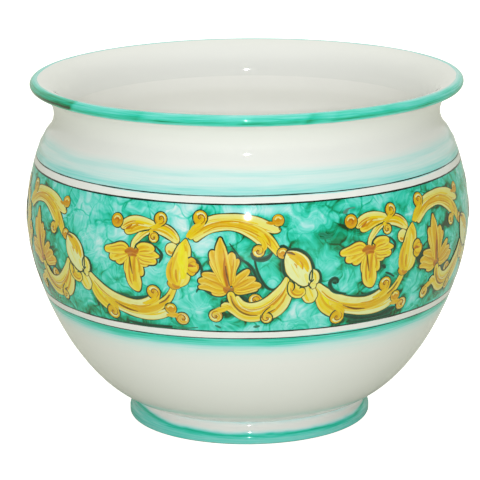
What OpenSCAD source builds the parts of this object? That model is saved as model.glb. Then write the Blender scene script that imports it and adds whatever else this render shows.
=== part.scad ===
/* [Rim] */
// Outside diameter of the everted lip
rim_d = 350; // [334:1:358]
// Height from the surface it stands on to the top of the lip
pot_h = 282; // [278:1:300]
// Outside diameter of the throat, the narrowest line under the lip
throat_d = 312; // [306:1:326]
// How far the narrowest line lies below the top of the lip
throat_drop = 29; // [27:0.5:34]
// Radius of the hollow that runs from the narrowest line into the shoulder
throat_r = 20; // [14:0.5:26]

/* [Wall] */
// Thickness of the wall from the rounded edge of the lip to the belly
wall_t = 9; // [7:0.5:11]
// Thickness of the wall where it runs into the foot
base_t = 11; // [9:0.5:13]
// Outside diameter of the belly at its widest line
belly_d = 360; // [345:1:380]
// Height of the widest line
belly_z = 169; // [155:1:180]
// Slope of the shoulder against the vertical, where the throat ends
shoulder_slope = 41; // [34:0.5:46]
// How far the shoulder runs on in that slope before it turns down
shoulder_run = 17.5; // [12:0.5:24]
// How far the wall rises straight above the widest line before it turns in
belly_rise = 20.5; // [14:0.5:30]
// How far the wall drops straight below the widest line before it turns in
belly_drop = 47; // [38:0.5:56]
// Slope of the lower wall against the vertical, where it meets the foot
base_slope = 68.5; // [60:0.5:72]
// How far the lower wall runs on in that slope before it turns up
base_run = 53.5; // [44:0.5:62]

/* [Foot] */
// Outside diameter of the foot ring at its bead
foot_d = 198; // [184:1:212]
// Height of the foot, up to the crease under the wall
foot_h = 17.6; // [16:0.2:21]
// Width of the ring that the pot stands on
foot_w = 12; // [9:0.5:15]
// Radius of the rounded edges of the standing face
foot_edge = 1.5; // [0.8:0.1:2]
// Height of the upright face of the bead
bead_h = 4.4; // [3:0.2:5]
// How far the bead stands out past the hollow above it
bead_out = 2.2; // [1:0.1:3]
// Height at which the hollow above the bead becomes upright
hollow_z = 11.5; // [10:0.5:12.5]
// Height at which the foot starts to draw in under the wall
tuck_z = 14.4; // [13.5:0.2:15]
// How far the foot draws in from there to the crease
tuck_in = 1.3; // [0.6:0.1:2]

/* [Floor] */
// Depth of the recess turned out under the floor
recess_h = 7; // [4:0.5:9]
// Thickness of the floor at its middle
floor_t = 12; // [10:0.5:14]

/* [Hidden] */
$fn = 180;
ARC_STEPS = 10;
CURVE_STEPS = 20;
EASE_STEPS = 6;

rim_r = rim_d / 2;
edge_r = wall_t / 2;
throat_z = pot_h - throat_drop;
neck_r = throat_d / 2;
belly_r = belly_d / 2;
foot_r = foot_d / 2;
ring_r = foot_r - foot_w;
crease_r = foot_r - bead_out - tuck_in;
floor_z = recess_h + floor_t;

// The lip is one wall thickness all along. Its hollow underside is an arc that starts upright at the
// narrowest line and touches the round edge.
edge_x = rim_r - edge_r;
edge_z = pot_h - edge_r;
reach = edge_x - neck_r;
rise = edge_z - throat_z;
flare_r = (reach * reach + rise * rise - edge_r * edge_r) / (2 * (reach + edge_r));
flare_x = neck_r + flare_r;
flare_a = atan2(rise, edge_x - flare_x);

// Points on an arc round [x, z] from angle a to angle b
function arc(x, z, r, a, b, n = ARC_STEPS) =
    [for (i = [0 : n]) let (t = a + (b - a) * i / n) [x + r * cos(t), z + r * sin(t)]];

// A point on a cubic curve with the four control points p, and the direction of the curve there
function curve_at(p, t) =
    pow(1 - t, 3) * p[0] + 3 * pow(1 - t, 2) * t * p[1] + 3 * (1 - t) * t * t * p[2] + pow(t, 3) * p[3];
function curve_dir(p, t) =
    let (d = pow(1 - t, 2) * (p[1] - p[0]) + 2 * (1 - t) * t * (p[2] - p[1]) + t * t * (p[3] - p[2]))
    d / norm(d);

// The curve's points moved square to it, to its left, by a thickness that runs from t0 to t1
function curve(p, t0 = 0, t1 = 0, n = CURVE_STEPS) =
    [for (i = [0 : n]) let (t = i / n, d = curve_dir(p, t), s = t0 + (t1 - t0) * t)
        curve_at(p, t) + s * [-d[1], d[0]]];

// Half a cosine wave from [r0, z0] to [r1, z1], upright at its start and, for whole = 1, at its end
function ease(r0, z0, r1, z1, whole, n = EASE_STEPS) =
    [for (i = [0 : n]) let (u = i / n)
        [r0 + (r1 - r0) * (whole ? (1 - cos(180 * u)) / 2 : 1 - cos(90 * u)), z0 + (z1 - z0) * u]];

function backwards(p) = [for (i = [len(p) - 1 : -1 : 0]) p[i]];

// The shoulder starts where the throat's hollow ends. From there the wall swells to the belly's widest
// line and draws in again to the crease over the foot.
hollow_x = neck_r + throat_r;
shoulder = [hollow_x - throat_r * cos(shoulder_slope), throat_z - throat_r * sin(shoulder_slope)];
crease = [crease_r, foot_h];
upper = [
    [belly_r, belly_z],
    [belly_r, belly_z + belly_rise],
    shoulder + shoulder_run * [sin(shoulder_slope), -cos(shoulder_slope)],
    shoulder
];
lower = [
    crease,
    crease + base_run * [sin(base_slope), cos(base_slope)],
    [belly_r, belly_z - belly_drop],
    [belly_r, belly_z]
];

// Inside, the wall runs down its own slope and levels out into the floor
inner_end = curve(lower, base_t, wall_t)[0];
level_run = (inner_end[1] - floor_z) * tan(base_slope);
function dish_at(t) =
    [inner_end[0] - 2 * level_run * t, floor_z + (inner_end[1] - floor_z) * pow(1 - t, 2)];
dish_split = (inner_end[0] - ring_r) / (2 * level_run);

module turned(outline) {
    rotate_extrude() polygon(outline);
}

// The lip: everted from the throat, the same thickness all along, rounded over at its edge
module rim_lip() {
    color("mediumaquamarine") turned(concat(
        arc(flare_x, throat_z, flare_r, 180, flare_a),
        arc(edge_x, edge_z, edge_r, flare_a + 180, flare_a + 360),
        arc(flare_x, throat_z, flare_r + wall_t, flare_a, 180)
    ));
}

// The upper wall: throat and shoulder, down to the widest line of the belly
module shoulder_wall() {
    color("ivory") turned(concat(
        curve(upper),
        backwards(arc(hollow_x, throat_z, throat_r, 180, 180 + shoulder_slope)),
        arc(hollow_x, throat_z, throat_r + wall_t, 180, 180 + shoulder_slope),
        backwards(curve(upper, wall_t, wall_t))
    ));
}

// The lower wall: the bowl from the widest line down to the crease over the foot
module bowl_wall() {
    color("ivory") turned(concat(
        curve(lower),
        backwards(curve(lower, base_t, wall_t)),
        [for (i = [0 : EASE_STEPS]) dish_at(dish_split * i / EASE_STEPS)],
        [[ring_r, foot_h]]
    ));
}

// The floor: a disc inside the ring, raised over the recess and dished on top
module base_floor() {
    color("linen") turned(concat(
        [[0, recess_h], [ring_r, recess_h]],
        [for (i = [0 : EASE_STEPS]) dish_at(dish_split + (1 - dish_split) * i / EASE_STEPS)],
        [[0, floor_z]]
    ));
}

// The foot ring: a bead at the bottom, a hollow above it and a tuck under the wall
module foot_ring() {
    color("mediumturquoise") turned(concat(
        arc(ring_r + foot_edge, foot_edge, foot_edge, 180, 270),
        arc(foot_r - foot_edge, foot_edge, foot_edge, 270, 360),
        ease(foot_r, bead_h, foot_r - bead_out, hollow_z, 1),
        ease(foot_r - bead_out, tuck_z, crease_r, foot_h, 0),
        [[ring_r, foot_h]]
    ));
}

rim_lip();
shoulder_wall();
bowl_wall();
base_floor();
foot_ring();
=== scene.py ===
# %% [markdown]
# A painted majolica cachepot
#
# The real pot is one piece of clay: thrown on the wheel, fired once, dipped in white tin glaze, painted on
# the dry glaze with metal oxides and fired again. So this lesson has three jobs: turn the clay, paint the
# glaze, and light the result plainly. Lengths are written in millimetres, as a potter would, and turned to
# Blender's metres at the last moment.

import math
import random

import bpy
import numpy as np
from mathutils import Matrix, Vector


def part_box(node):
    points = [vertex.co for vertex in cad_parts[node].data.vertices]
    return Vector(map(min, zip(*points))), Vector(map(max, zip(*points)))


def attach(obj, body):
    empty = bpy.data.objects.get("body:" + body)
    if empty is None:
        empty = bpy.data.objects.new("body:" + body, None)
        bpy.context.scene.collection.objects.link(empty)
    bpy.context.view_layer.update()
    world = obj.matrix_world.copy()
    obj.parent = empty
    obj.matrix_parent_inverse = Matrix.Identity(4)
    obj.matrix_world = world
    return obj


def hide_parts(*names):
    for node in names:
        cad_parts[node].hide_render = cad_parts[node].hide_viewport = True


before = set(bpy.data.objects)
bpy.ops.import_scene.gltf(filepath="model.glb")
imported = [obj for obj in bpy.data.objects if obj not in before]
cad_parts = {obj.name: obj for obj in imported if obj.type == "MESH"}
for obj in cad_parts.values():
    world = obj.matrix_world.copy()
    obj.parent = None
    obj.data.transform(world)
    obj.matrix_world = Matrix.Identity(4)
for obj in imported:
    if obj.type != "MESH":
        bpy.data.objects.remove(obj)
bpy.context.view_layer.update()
MM = 0.001

# %% [markdown]
# One helper adds a node to any tree. A value in `inputs` may be a plain number, a socket or a whole node,
# and a whole node stands for its first output. That keeps a long chain of maths readable. A second helper
# turns the hex colours that a designer writes into the linear light that Blender computes with.

# %% Two small helpers
MATH = "ShaderNodeMath"
VECTOR = "ShaderNodeVectorMath"
MIX = "ShaderNodeMix"
NOISE = "ShaderNodeTexNoise"
RANGE = "ShaderNodeMapRange"
VORONOI = "ShaderNodeTexVoronoi"
SEPARATE = "ShaderNodeSeparateXYZ"
COMBINE = "ShaderNodeCombineXYZ"
STORED = "ShaderNodeAttribute"
NAMED = "GeometryNodeInputNamedAttribute"
STORE = "GeometryNodeStoreNamedAttribute"


def add(tree, kind, inputs=None, **settings):
    """Adds one node with its settings, and fills or links its inputs by name or number."""
    node = tree.nodes.new(kind)
    for name, value in settings.items():
        setattr(node, name, value)
    for key, value in (inputs or {}).items():
        if isinstance(value, bpy.types.Node):
            value = value.outputs[0]
        if isinstance(value, bpy.types.NodeSocket):
            tree.links.new(value, node.inputs[key])
        else:
            node.inputs[key].default_value = value
    return node


def linear(hex_colour):
    """An sRGB colour such as 'E8DF84' as linear red, green, blue and alpha."""
    parts = [int(hex_colour[i:i + 2], 16) / 255 for i in (0, 2, 4)]
    return [p / 12.92 if p <= 0.04045 else ((p + 0.055) / 1.055) ** 2.4 for p in parts] + [1.0]


print("sRGB 808080 is a light of", round(linear("808080")[0], 3))


# %% [markdown]
# The camera comes first, so that every later render is framed like the photograph. It stands two metres in
# front of the pot, a little above it, with a long lens. A long lens keeps the ellipses of the rim and of the
# painted lines almost parallel. Its turn is about the upright axis, and its tilt and roll are its own.

# %% Camera
CAMERA_AT = Vector((0.0, -2.0347, 0.6551))
CAMERA_TILT = math.radians(14.12)
CAMERA_TURN = math.radians(0.183)
CAMERA_ROLL = math.radians(-0.544)
CAMERA_LENS = 192.0
SENSOR_MM = 36.0

camera_data = bpy.data.cameras.new("camera")
camera_data.lens = CAMERA_LENS
camera_data.sensor_width = SENSOR_MM
camera = bpy.data.objects.new("camera", camera_data)
camera.matrix_world = (
    Matrix.Translation(CAMERA_AT)
    @ Matrix.Rotation(CAMERA_TURN, 4, "Z")
    @ Matrix.Rotation(math.pi / 2 - CAMERA_TILT, 4, "X")
    @ Matrix.Rotation(CAMERA_ROLL, 4, "Z")
)
bpy.context.scene.collection.objects.link(camera)
bpy.context.scene.camera = camera
print("camera", [round(x, 3) for x in camera.location], "lens", CAMERA_LENS)

# %% [markdown]
# A thrown pot is known by its profile: half of its section, which the wheel turns round the axis. The main
# radii and heights are read off the frame, and the curves between them are the potter's own: a hollow
# throat, a shoulder, a full belly and a bowl that runs in to the foot. Each stretch is an arc or a cubic
# curve, so a few values give hundreds of smooth points, and each point knows its true normal.

# %% Sizes read off the frame, in mm
lip_low, lip_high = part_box("rim_lip")
belly_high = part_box("shoulder_wall")[1]
bowl_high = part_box("bowl_wall")[1]
foot_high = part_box("foot_ring")[1]
floor_low, floor_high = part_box("base_floor")

RIM_R = lip_high.x / MM
POT_H = lip_high.z / MM
THROAT_Z = lip_low.z / MM
BELLY_R = belly_high.x / MM
BELLY_Z = bowl_high.z / MM
FOOT_R = foot_high.x / MM
FOOT_H = foot_high.z / MM
RECESS_H = floor_low.z / MM
RING_R = floor_high.x / MM
print("radii in mm: rim", round(RIM_R, 1), "belly", round(BELLY_R, 1), "foot", round(FOOT_R, 1))
print("heights in mm: throat", round(THROAT_Z, 1), "belly", round(BELLY_Z, 1), "foot", round(FOOT_H, 1))

# %% The potter's own values, in mm and degrees
THROAT_R = 156.0
HOLLOW_R = 20.0
WALL_T = 9.0
BASE_T = 11.0
SHOULDER_SLOPE = math.radians(41.0)
SHOULDER_RUN = 17.5
BELLY_RISE = 20.5
BELLY_DROP = 47.0
BASE_SLOPE = math.radians(68.5)
BASE_RUN = 53.5
CREASE_R = 95.5
FLOOR_Z = 19.0
FOOT_EDGE = 1.5
BEAD_H = 4.4
BEAD_OUT = 2.2
HOLLOW_Z = 11.5
TUCK_Z = 14.4
print("wall", WALL_T, "mm at the lip and", BASE_T, "mm at the foot")

# %% [markdown]
# Four helpers draw a profile as [radius, height] points: `arc`, `cubic`, `ease` and `join`. Three more
# measure it. A line's normal is its direction turned a quarter to the right, so every profile runs with the
# clay on its left: up the outside, over the rim and down the inside.

# %% Lines of a profile
def arc(x, z, r, a, b, n):
    """n points on an arc round (x, z), from a to b degrees."""
    t = np.radians(np.linspace(a, b, n))
    return np.stack([x + r * np.cos(t), z + r * np.sin(t)], 1)


def cubic(points, n, t0=0.0, t1=0.0):
    """n points on a cubic curve, moved to its left by a thickness that runs from t0 to t1."""
    p = np.array(points, float)
    t = np.linspace(0, 1, n)[:, None]
    on = (1 - t) ** 3 * p[0] + 3 * (1 - t) ** 2 * t * p[1] + 3 * (1 - t) * t * t * p[2] + t ** 3 * p[3]
    d = (1 - t) ** 2 * (p[1] - p[0]) + 2 * (1 - t) * t * (p[2] - p[1]) + t * t * (p[3] - p[2])
    d /= np.linalg.norm(d, axis=1)[:, None]
    return on + (t0 + (t1 - t0) * t) * np.stack([-d[:, 1], d[:, 0]], 1)


def ease(r0, z0, r1, z1, whole, n=8):
    """Half a cosine wave between two heights, upright at its start and, if whole, at its end."""
    u = np.linspace(0, 1, n)
    swing = (1 - np.cos(math.pi * u)) / 2 if whole else 1 - np.cos(math.pi / 2 * u)
    return np.stack([r0 + (r1 - r0) * swing, z0 + (z1 - z0) * u], 1)


def join(*runs):
    """One line from several that meet end to end."""
    kept = [runs[0]] + [r[1:] if np.allclose(r[0], k[-1], atol=1e-3) else r for k, r in zip(runs, runs[1:])]
    return np.concatenate(kept)


def lengths(line):
    """How far along the line each point lies."""
    return np.concatenate([[0], np.cumsum(np.linalg.norm(np.diff(line, axis=0), axis=1))])


def along(line, places):
    """Points of the line at the given distances from its start."""
    s = lengths(line)
    return np.stack([np.interp(places, s, line[:, 0]), np.interp(places, s, line[:, 1])], 1)


def normals(line):
    """The outward normal at each point: the direction of travel turned to the right."""
    d = np.gradient(line, axis=0)
    d /= np.linalg.norm(d, axis=1)[:, None]
    return np.stack([d[:, 1], -d[:, 0]], 1)


print("a quarter turn at a radius of 1 mm is", round(lengths(arc(0, 0, 1, 0, 90, 90))[-1], 3), "mm long")


# %% The wall's two faces
hollow_x = THROAT_R + HOLLOW_R
shoulder = np.array([
    hollow_x - HOLLOW_R * math.cos(SHOULDER_SLOPE),
    THROAT_Z - HOLLOW_R * math.sin(SHOULDER_SLOPE),
])
crease = np.array([CREASE_R, FOOT_H])
upper = [
    [BELLY_R, BELLY_Z],
    [BELLY_R, BELLY_Z + BELLY_RISE],
    shoulder + SHOULDER_RUN * np.array([math.sin(SHOULDER_SLOPE), -math.cos(SHOULDER_SLOPE)]),
    shoulder,
]
lower = [
    crease,
    crease + BASE_RUN * np.array([math.sin(BASE_SLOPE), math.cos(BASE_SLOPE)]),
    [BELLY_R, BELLY_Z - BELLY_DROP],
    [BELLY_R, BELLY_Z],
]
slope_end = 180 + math.degrees(SHOULDER_SLOPE)
outside = join(
    cubic(lower, 400),
    cubic(upper, 300),
    arc(hollow_x, THROAT_Z, HOLLOW_R, slope_end, 180, 80),
)
inner_end = cubic(lower, 2, BASE_T, WALL_T)[0]
level_run = (inner_end[1] - FLOOR_Z) * math.tan(BASE_SLOPE)
dish_t = np.linspace(0, 1, 80)
dish = np.stack([
    inner_end[0] - 2 * level_run * dish_t,
    FLOOR_Z + (inner_end[1] - FLOOR_Z) * (1 - dish_t) ** 2,
], 1)
inside = join(
    arc(hollow_x, THROAT_Z, HOLLOW_R + WALL_T, 180, slope_end, 60),
    cubic(upper, 160, WALL_T, WALL_T)[::-1],
    cubic(lower, 200, BASE_T, WALL_T)[::-1],
    dish,
    np.array([[0.0, FLOOR_Z]]),
)
print("outside runs", round(lengths(outside)[-1], 1), "mm, inside", round(lengths(inside)[-1], 1), "mm")

# %% [markdown]
# Fingers leave traces on thrown clay. On this pot a low ridge runs round the shoulder, with a fainter one
# above it, and the wall has shallow waves that only a reflection shows. They are a fraction of a millimetre
# high, and they are what keeps the gloss from looking machine-made. The paint follows the same wall later,
# so the waves are put into the line itself.

# %% Throwing marks
# Each ridge is its height on the pot, its half-width and how far it stands out; each wave is its pitch,
# its depth and where it starts
RIDGES = ((228.6, 1.7, 0.42), (236.6, 1.3, 0.16), (246.5, 3.0, 0.10))
WAVES = ((31.0, 0.045, 0.4), (17.0, 0.02, 2.1))
MIDDLE_OUT = 0.1
FADE_LOW, FADE_HIGH = 8.0, 5.0


def throwing_marks(z):
    """How far the wall stands out at height z, in mm, fading at both ends of the wall."""
    out = sum(h * np.exp(-((z - at) / wide) ** 2) for at, wide, h in RIDGES)
    out = out + sum(h * np.sin(2 * math.pi * z / pitch + start) for pitch, h, start in WAVES)
    ends = np.clip((z - FOOT_H) / FADE_LOW, 0, 1) * np.clip((THROAT_Z - z) / FADE_HIGH, 0, 1)
    return (out - MIDDLE_OUT) * ends


marks = throwing_marks(outside[:, 1])
outside = outside + marks[:, None] * normals(outside)
print("throwing marks from", round(marks.min(), 2), "to", round(marks.max(), 2), "mm")

# %% [markdown]
# Four rings were drawn on the turning pot before the scroll was painted: a thin and a stronger line above
# the band, and the same below it. Heights on the real pot are measured along the wall, as a paper strip
# would lie on it. So `v` is the distance up the wall from the band's lower line, and `u` is the distance
# round the belly from the front, both in mm.

# %% Lines of the painted band
LINE_TOP = 220.0
BAND_TOP = 214.0
BAND_LOW = 113.9
LINE_LOW = 107.7
UNROLL_R = BELLY_R
REPEATS = 6
PITCH = 2 * math.pi * UNROLL_R / REPEATS

outside_s = lengths(outside)
band_start = float(np.interp(BAND_LOW, outside[:, 1], outside_s))
band_end = float(np.interp(BAND_TOP, outside[:, 1], outside_s))
BAND_V = band_end - band_start
print("band", round(BAND_V, 1), "mm up the wall; the scroll repeats every", round(PITCH, 1), "mm")

# %% [markdown]
# The wheel is a node tree. A grid is made with one row for each point of the profile and one column for
# each step round the axis. Every grid point looks up its profile point by row, and its column gives the
# angle. Points that meet at the seam and on the axis are merged, so the shell is closed. Spin in Edit Mode
# would do the same once, but a tree keeps the steps and the wobble as inputs, and serves four pieces.

# %% The wheel, as a geometry tree
def named_input(tree, name, kind, value):
    """Gives the tree one named input with a default value, and returns its identifier."""
    socket = tree.interface.new_socket(name, in_out="INPUT", socket_type=kind)
    if value is not None:
        socket.default_value = value
    return socket.identifier


MERGE_MM = 0.001
wheel = bpy.data.node_groups.new("turned_on_the_wheel", "GeometryNodeTree")
WHEEL_INPUTS = {
    "Profile": named_input(wheel, "Profile", "NodeSocketGeometry", None),
    "Steps": named_input(wheel, "Steps", "NodeSocketInt", 360),
    "Wobble": named_input(wheel, "Wobble", "NodeSocketFloat", 0.0),
    "Wobble above": named_input(wheel, "Wobble above", "NodeSocketFloat", 0.0),
    "Finish": named_input(wheel, "Finish", "NodeSocketMaterial", None),
}
wheel.interface.new_socket("Clay", in_out="OUTPUT", socket_type="NodeSocketGeometry")
given = add(wheel, "NodeGroupInput")
rows = add(wheel, "GeometryNodeAttributeDomainSize", {0: given.outputs["Profile"]}, component="MESH")
columns = add(wheel, MATH, {0: given.outputs["Steps"], 1: 1.0}, operation="ADD")
grid = add(wheel, "GeometryNodeMeshGrid", {
    "Size X": 1.0, "Size Y": 1.0, "Vertices X": columns, "Vertices Y": rows.outputs["Point Count"]})
place = add(wheel, "GeometryNodeInputPosition")
split = add(wheel, SEPARATE, {0: place})
turn = add(wheel, MATH, {0: split.outputs["X"], 1: 0.5}, operation="ADD")
angle = add(wheel, MATH, {0: turn, 1: 2 * math.pi, 2: math.pi / 2}, operation="MULTIPLY_ADD")
last_row = add(wheel, MATH, {0: rows.outputs["Point Count"], 1: 1.0}, operation="SUBTRACT")
row_share = add(wheel, MATH, {0: split.outputs["Y"], 1: 0.5}, operation="ADD")
row_place = add(wheel, MATH, {0: row_share, 1: last_row}, operation="MULTIPLY")
row = add(wheel, MATH, {0: row_place}, operation="ROUND")
print(len(wheel.nodes), "nodes so far")

# %% The wheel looks up the profile, and the clay wobbles a little
WOBBLE_SCALE = 1.1
profile_place = add(wheel, "GeometryNodeSampleIndex", {
    "Geometry": given.outputs["Profile"], "Value": place, "Index": row}, data_type="FLOAT_VECTOR")
profile_normal = add(wheel, NAMED, {"Name": "facing"}, data_type="FLOAT_VECTOR")
sampled_normal = add(wheel, "GeometryNodeSampleIndex", {
    "Geometry": given.outputs["Profile"], "Value": profile_normal, "Index": row}, data_type="FLOAT_VECTOR")
profile_mark = add(wheel, NAMED, {"Name": "run"}, data_type="FLOAT")
sampled_mark = add(wheel, "GeometryNodeSampleIndex", {
    "Geometry": given.outputs["Profile"], "Value": profile_mark, "Index": row}, data_type="FLOAT")
height = add(wheel, SEPARATE, {0: profile_place})
circle_x = add(wheel, MATH, {0: angle}, operation="COSINE")
circle_y = add(wheel, MATH, {0: angle}, operation="SINE")
round_the_pot = add(wheel, COMBINE, {0: circle_x, 1: circle_y, 2: 0.0})
hand = add(wheel, NOISE, {"Vector": round_the_pot, "Scale": WOBBLE_SCALE, "Detail": 1.0})
share_above = add(wheel, RANGE, {
    "Value": height.outputs["Z"], "From Min": given.outputs["Wobble above"], "From Max": POT_H * MM})
wobble_here = add(wheel, MATH, {0: hand, 1: share_above}, operation="MULTIPLY")
shrink = add(wheel, MATH, {0: wobble_here, 1: given.outputs["Wobble"]}, operation="MULTIPLY")
radius = add(wheel, MATH, {0: height.outputs["X"], 1: shrink}, operation="SUBTRACT")
sunk = add(wheel, MATH, {0: height.outputs["Z"], 1: shrink}, operation="SUBTRACT")
turned_place = add(wheel, COMBINE, {
    0: add(wheel, MATH, {0: radius, 1: circle_x}, operation="MULTIPLY"),
    1: add(wheel, MATH, {0: radius, 1: circle_y}, operation="MULTIPLY"),
    2: sunk})
print(len(wheel.nodes), "nodes so far")

# %% The wheel's shell: placed, marked, closed and given its finish
facing = add(wheel, SEPARATE, {0: sampled_normal})
turned_normal = add(wheel, COMBINE, {
    0: add(wheel, MATH, {0: facing.outputs["X"], 1: circle_x}, operation="MULTIPLY"),
    1: add(wheel, MATH, {0: facing.outputs["X"], 1: circle_y}, operation="MULTIPLY"),
    2: facing.outputs["Z"]})
marked = add(wheel, STORE, {
    "Geometry": grid.outputs["Mesh"], "Name": "facing", "Value": turned_normal}, data_type="FLOAT_VECTOR")
with_run = add(wheel, STORE, {
    "Geometry": marked, "Name": "run", "Value": sampled_mark}, data_type="FLOAT")
shell = add(wheel, "GeometryNodeSetPosition", {"Geometry": with_run, "Position": turned_place})
closed = add(wheel, "GeometryNodeMergeByDistance", {"Geometry": shell, "Distance": MERGE_MM * MM})
smooth = add(wheel, "GeometryNodeSetShadeSmooth", {"Geometry": closed})
real = add(wheel, "GeometryNodeRealizeInstances", {"Geometry": smooth})
finished = add(wheel, "GeometryNodeSetMaterial", {"Geometry": real, "Material": given.outputs["Finish"]})
add(wheel, "NodeGroupOutput", {0: finished})
print("wheel tree:", len(wheel.nodes), "nodes")

# %% [markdown]
# A modifier only shows the tree's result. `new_from_object` on the evaluated object turns it into a plain
# mesh, and the modifier's object goes. Gloss is unforgiving, so each corner of a turned piece gets the
# profile's true normal: the lip and the wall are two pieces, but their reflections run on across the seam.
# Where a face turns away from that normal, as a hidden joint face does, it keeps its own.

# %% From a tree to a plain mesh
def grow(name, source, tree, identifiers, values):
    """Runs the tree on a mesh and returns its result as a new object with a plain mesh."""
    seed = bpy.data.objects.new(name + "_source", source)
    bpy.context.scene.collection.objects.link(seed)
    modifier = seed.modifiers.new("grow", "NODES")
    modifier.node_group = tree
    for key, value in values.items():
        modifier[identifiers[key]] = value
    bpy.context.view_layer.update()
    depsgraph = bpy.context.evaluated_depsgraph_get()
    mesh = bpy.data.meshes.new_from_object(seed.evaluated_get(depsgraph), depsgraph=depsgraph)
    mesh.name = name
    bpy.data.objects.remove(seed)
    piece = bpy.data.objects.new(name, mesh)
    bpy.context.scene.collection.objects.link(piece)
    return piece


def store(mesh, name, values, kind="FLOAT", field="value"):
    """Stores one value for each point of a mesh under a name."""
    data = mesh.attributes.new(name, kind, "POINT").data
    data.foreach_set(field, np.asarray(values, np.float32).ravel())


def points_of(mesh):
    """The mesh's points as a numpy array, in metres."""
    data = np.zeros(len(mesh.vertices) * 3, np.float32)
    mesh.vertices.foreach_get("co", data)
    return data.reshape(-1, 3)


def true_normals(mesh, limit=0.5):
    """Gives each corner the stored normal, or its face's own where the two disagree."""
    wanted = np.zeros(len(mesh.vertices) * 3, np.float32)
    mesh.attributes["facing"].data.foreach_get("vector", wanted)
    wanted = wanted.reshape(-1, 3)
    wanted /= np.maximum(np.linalg.norm(wanted, axis=1), 1e-9)[:, None]
    corner_point = np.zeros(len(mesh.loops), np.int32)
    mesh.loops.foreach_get("vertex_index", corner_point)
    face_normal = np.zeros(len(mesh.polygons) * 3, np.float32)
    mesh.polygons.foreach_get("normal", face_normal)
    corners = np.zeros(len(mesh.polygons), np.int32)
    mesh.polygons.foreach_get("loop_total", corners)
    own = np.repeat(face_normal.reshape(-1, 3), corners, axis=0)
    corner_normal = wanted[corner_point]
    away = (own * corner_normal).sum(1) < limit
    corner_normal[away] = own[away]
    mesh.normals_split_custom_set(corner_normal)
    mesh.attributes.remove(mesh.attributes["facing"])


def volume(mesh):
    """The volume inside a closed mesh in litres; it is below zero where the faces point inwards."""
    mesh.calc_loop_triangles()
    index = np.zeros(len(mesh.loop_triangles) * 3, np.int32)
    mesh.loop_triangles.foreach_get("vertices", index)
    a, b, c = points_of(mesh)[index.reshape(-1, 3)].transpose(1, 0, 2).astype(float)
    return float((a * np.cross(b, c)).sum() / 6 * 1000)


def line_mesh(name, line):
    """A mesh of one line through [radius, height] points in mm."""
    mesh = bpy.data.meshes.new(name)
    edges = [(i, i + 1) for i in range(len(line) - 1)]
    mesh.from_pydata([(r * MM, 0, z * MM) for r, z in line], edges, [])
    return mesh


def turned(name, runs, steps, finish, wobble=0.0):
    """Turns a closed profile, given as runs of [radius, height] points, into one piece of the pot."""
    points, outwards, run = [], [], []
    for line in runs:
        points += list(line)
        outwards += list(normals(line))
        run += list(lengths(line))
    if points[0][0] > 0:
        points.append(points[0])
        outwards.append(outwards[0])
        run.append(run[0])
    mesh = line_mesh(name + "_profile", points)
    store(mesh, "facing", [(r, 0, z) for r, z in outwards], "FLOAT_VECTOR", "vector")
    store(mesh, "run", run)
    piece = grow(name, mesh, wheel, WHEEL_INPUTS, {
        "Steps": steps, "Wobble": wobble * MM, "Wobble above": THROAT_Z * MM, "Finish": finish})
    if volume(piece.data) < 0:
        piece.data.flip_normals()
    true_normals(piece.data)
    print(name, len(piece.data.polygons), "faces,", round(volume(piece.data), 3), "litres of clay")
    return piece


# %% [markdown]
# Tin glaze is a glass made opaque white with tin oxide, about a third of a millimetre thick. It gives the
# eye an even, slightly warm white under a sharp, clear gloss. Inside, its colour is painted a little whiter:
# painted light, which brightens the shaded inside of the pot. Copper paint melts into it: thinly brushed it
# is a pale aqua, thick it is turquoise, and where it pools it turns a dark bottle green. So every painted
# surface of the pot works out one number, the density of the paint, and one colour ramp turns density into
# colour.

# %% The colours of copper on tin glaze, from bare to pooled
COPPER = (
    (0.00, "ECEDE9"), (0.12, "D1EBE8"), (0.28, "A2E2DE"), (0.45, "68DACC"), (0.60, "2ECBB0"),
    (0.74, "0CB088"), (0.86, "048656"), (0.95, "0A5A2E"), (1.00, "1C3E1C"),
)
# The inside's glaze colour is painted lighter: painted light that brightens the shaded inside below the
# throat
INSIDE_GLAZE_PAINTED_LIGHTER = "F8F8F4"
GLAZE_IOR = 1.52
GLAZE_ROUGHNESS = 0.05
ORANGE_PEEL_MM = 3.5
ORANGE_PEEL_DEPTH_MM = 0.006


def material(name):
    """A new material with an empty tree, and its tree."""
    made = bpy.data.materials.new(name)
    made.use_nodes = True
    made.node_tree.nodes.clear()
    return made, made.node_tree


def in_mm(tree):
    """The place on the pot in millimetres, as a vector."""
    metres = add(tree, "ShaderNodeTexCoord").outputs["Object"]
    return add(tree, VECTOR, {0: metres, "Scale": 1 / MM}, operation="SCALE")


def stops(tree, value, levels, colours=False):
    """The value run through (value, level) pairs, on a ramp; the levels are greys, or hex colours."""
    low, high = levels[0][0], levels[-1][0]
    share = add(tree, RANGE, {"Value": value, "From Min": low, "From Max": high})
    ramp = add(tree, "ShaderNodeValToRGB", {0: share})
    elements = ramp.color_ramp.elements
    while len(elements) < len(levels):
        elements.new(0.5)
    for element, (at, level) in zip(elements, levels):
        element.position = (at - low) / (high - low)
        element.color = linear(level) if colours else (level, level, level, 1.0)
    return ramp


def noise_at(tree, where, mm, detail=2.0, distortion=0.0):
    """Noise around zero whose features have the given size in mm along x, y and z."""
    scaled = add(tree, VECTOR, {0: where, 1: [1 / size for size in mm]}, operation="MULTIPLY")
    cloud = add(tree, NOISE, {
        "Vector": scaled, "Scale": 1.0, "Detail": detail, "Distortion": distortion})
    return add(tree, MATH, {0: cloud, 1: 0.5}, operation="SUBTRACT")


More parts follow.
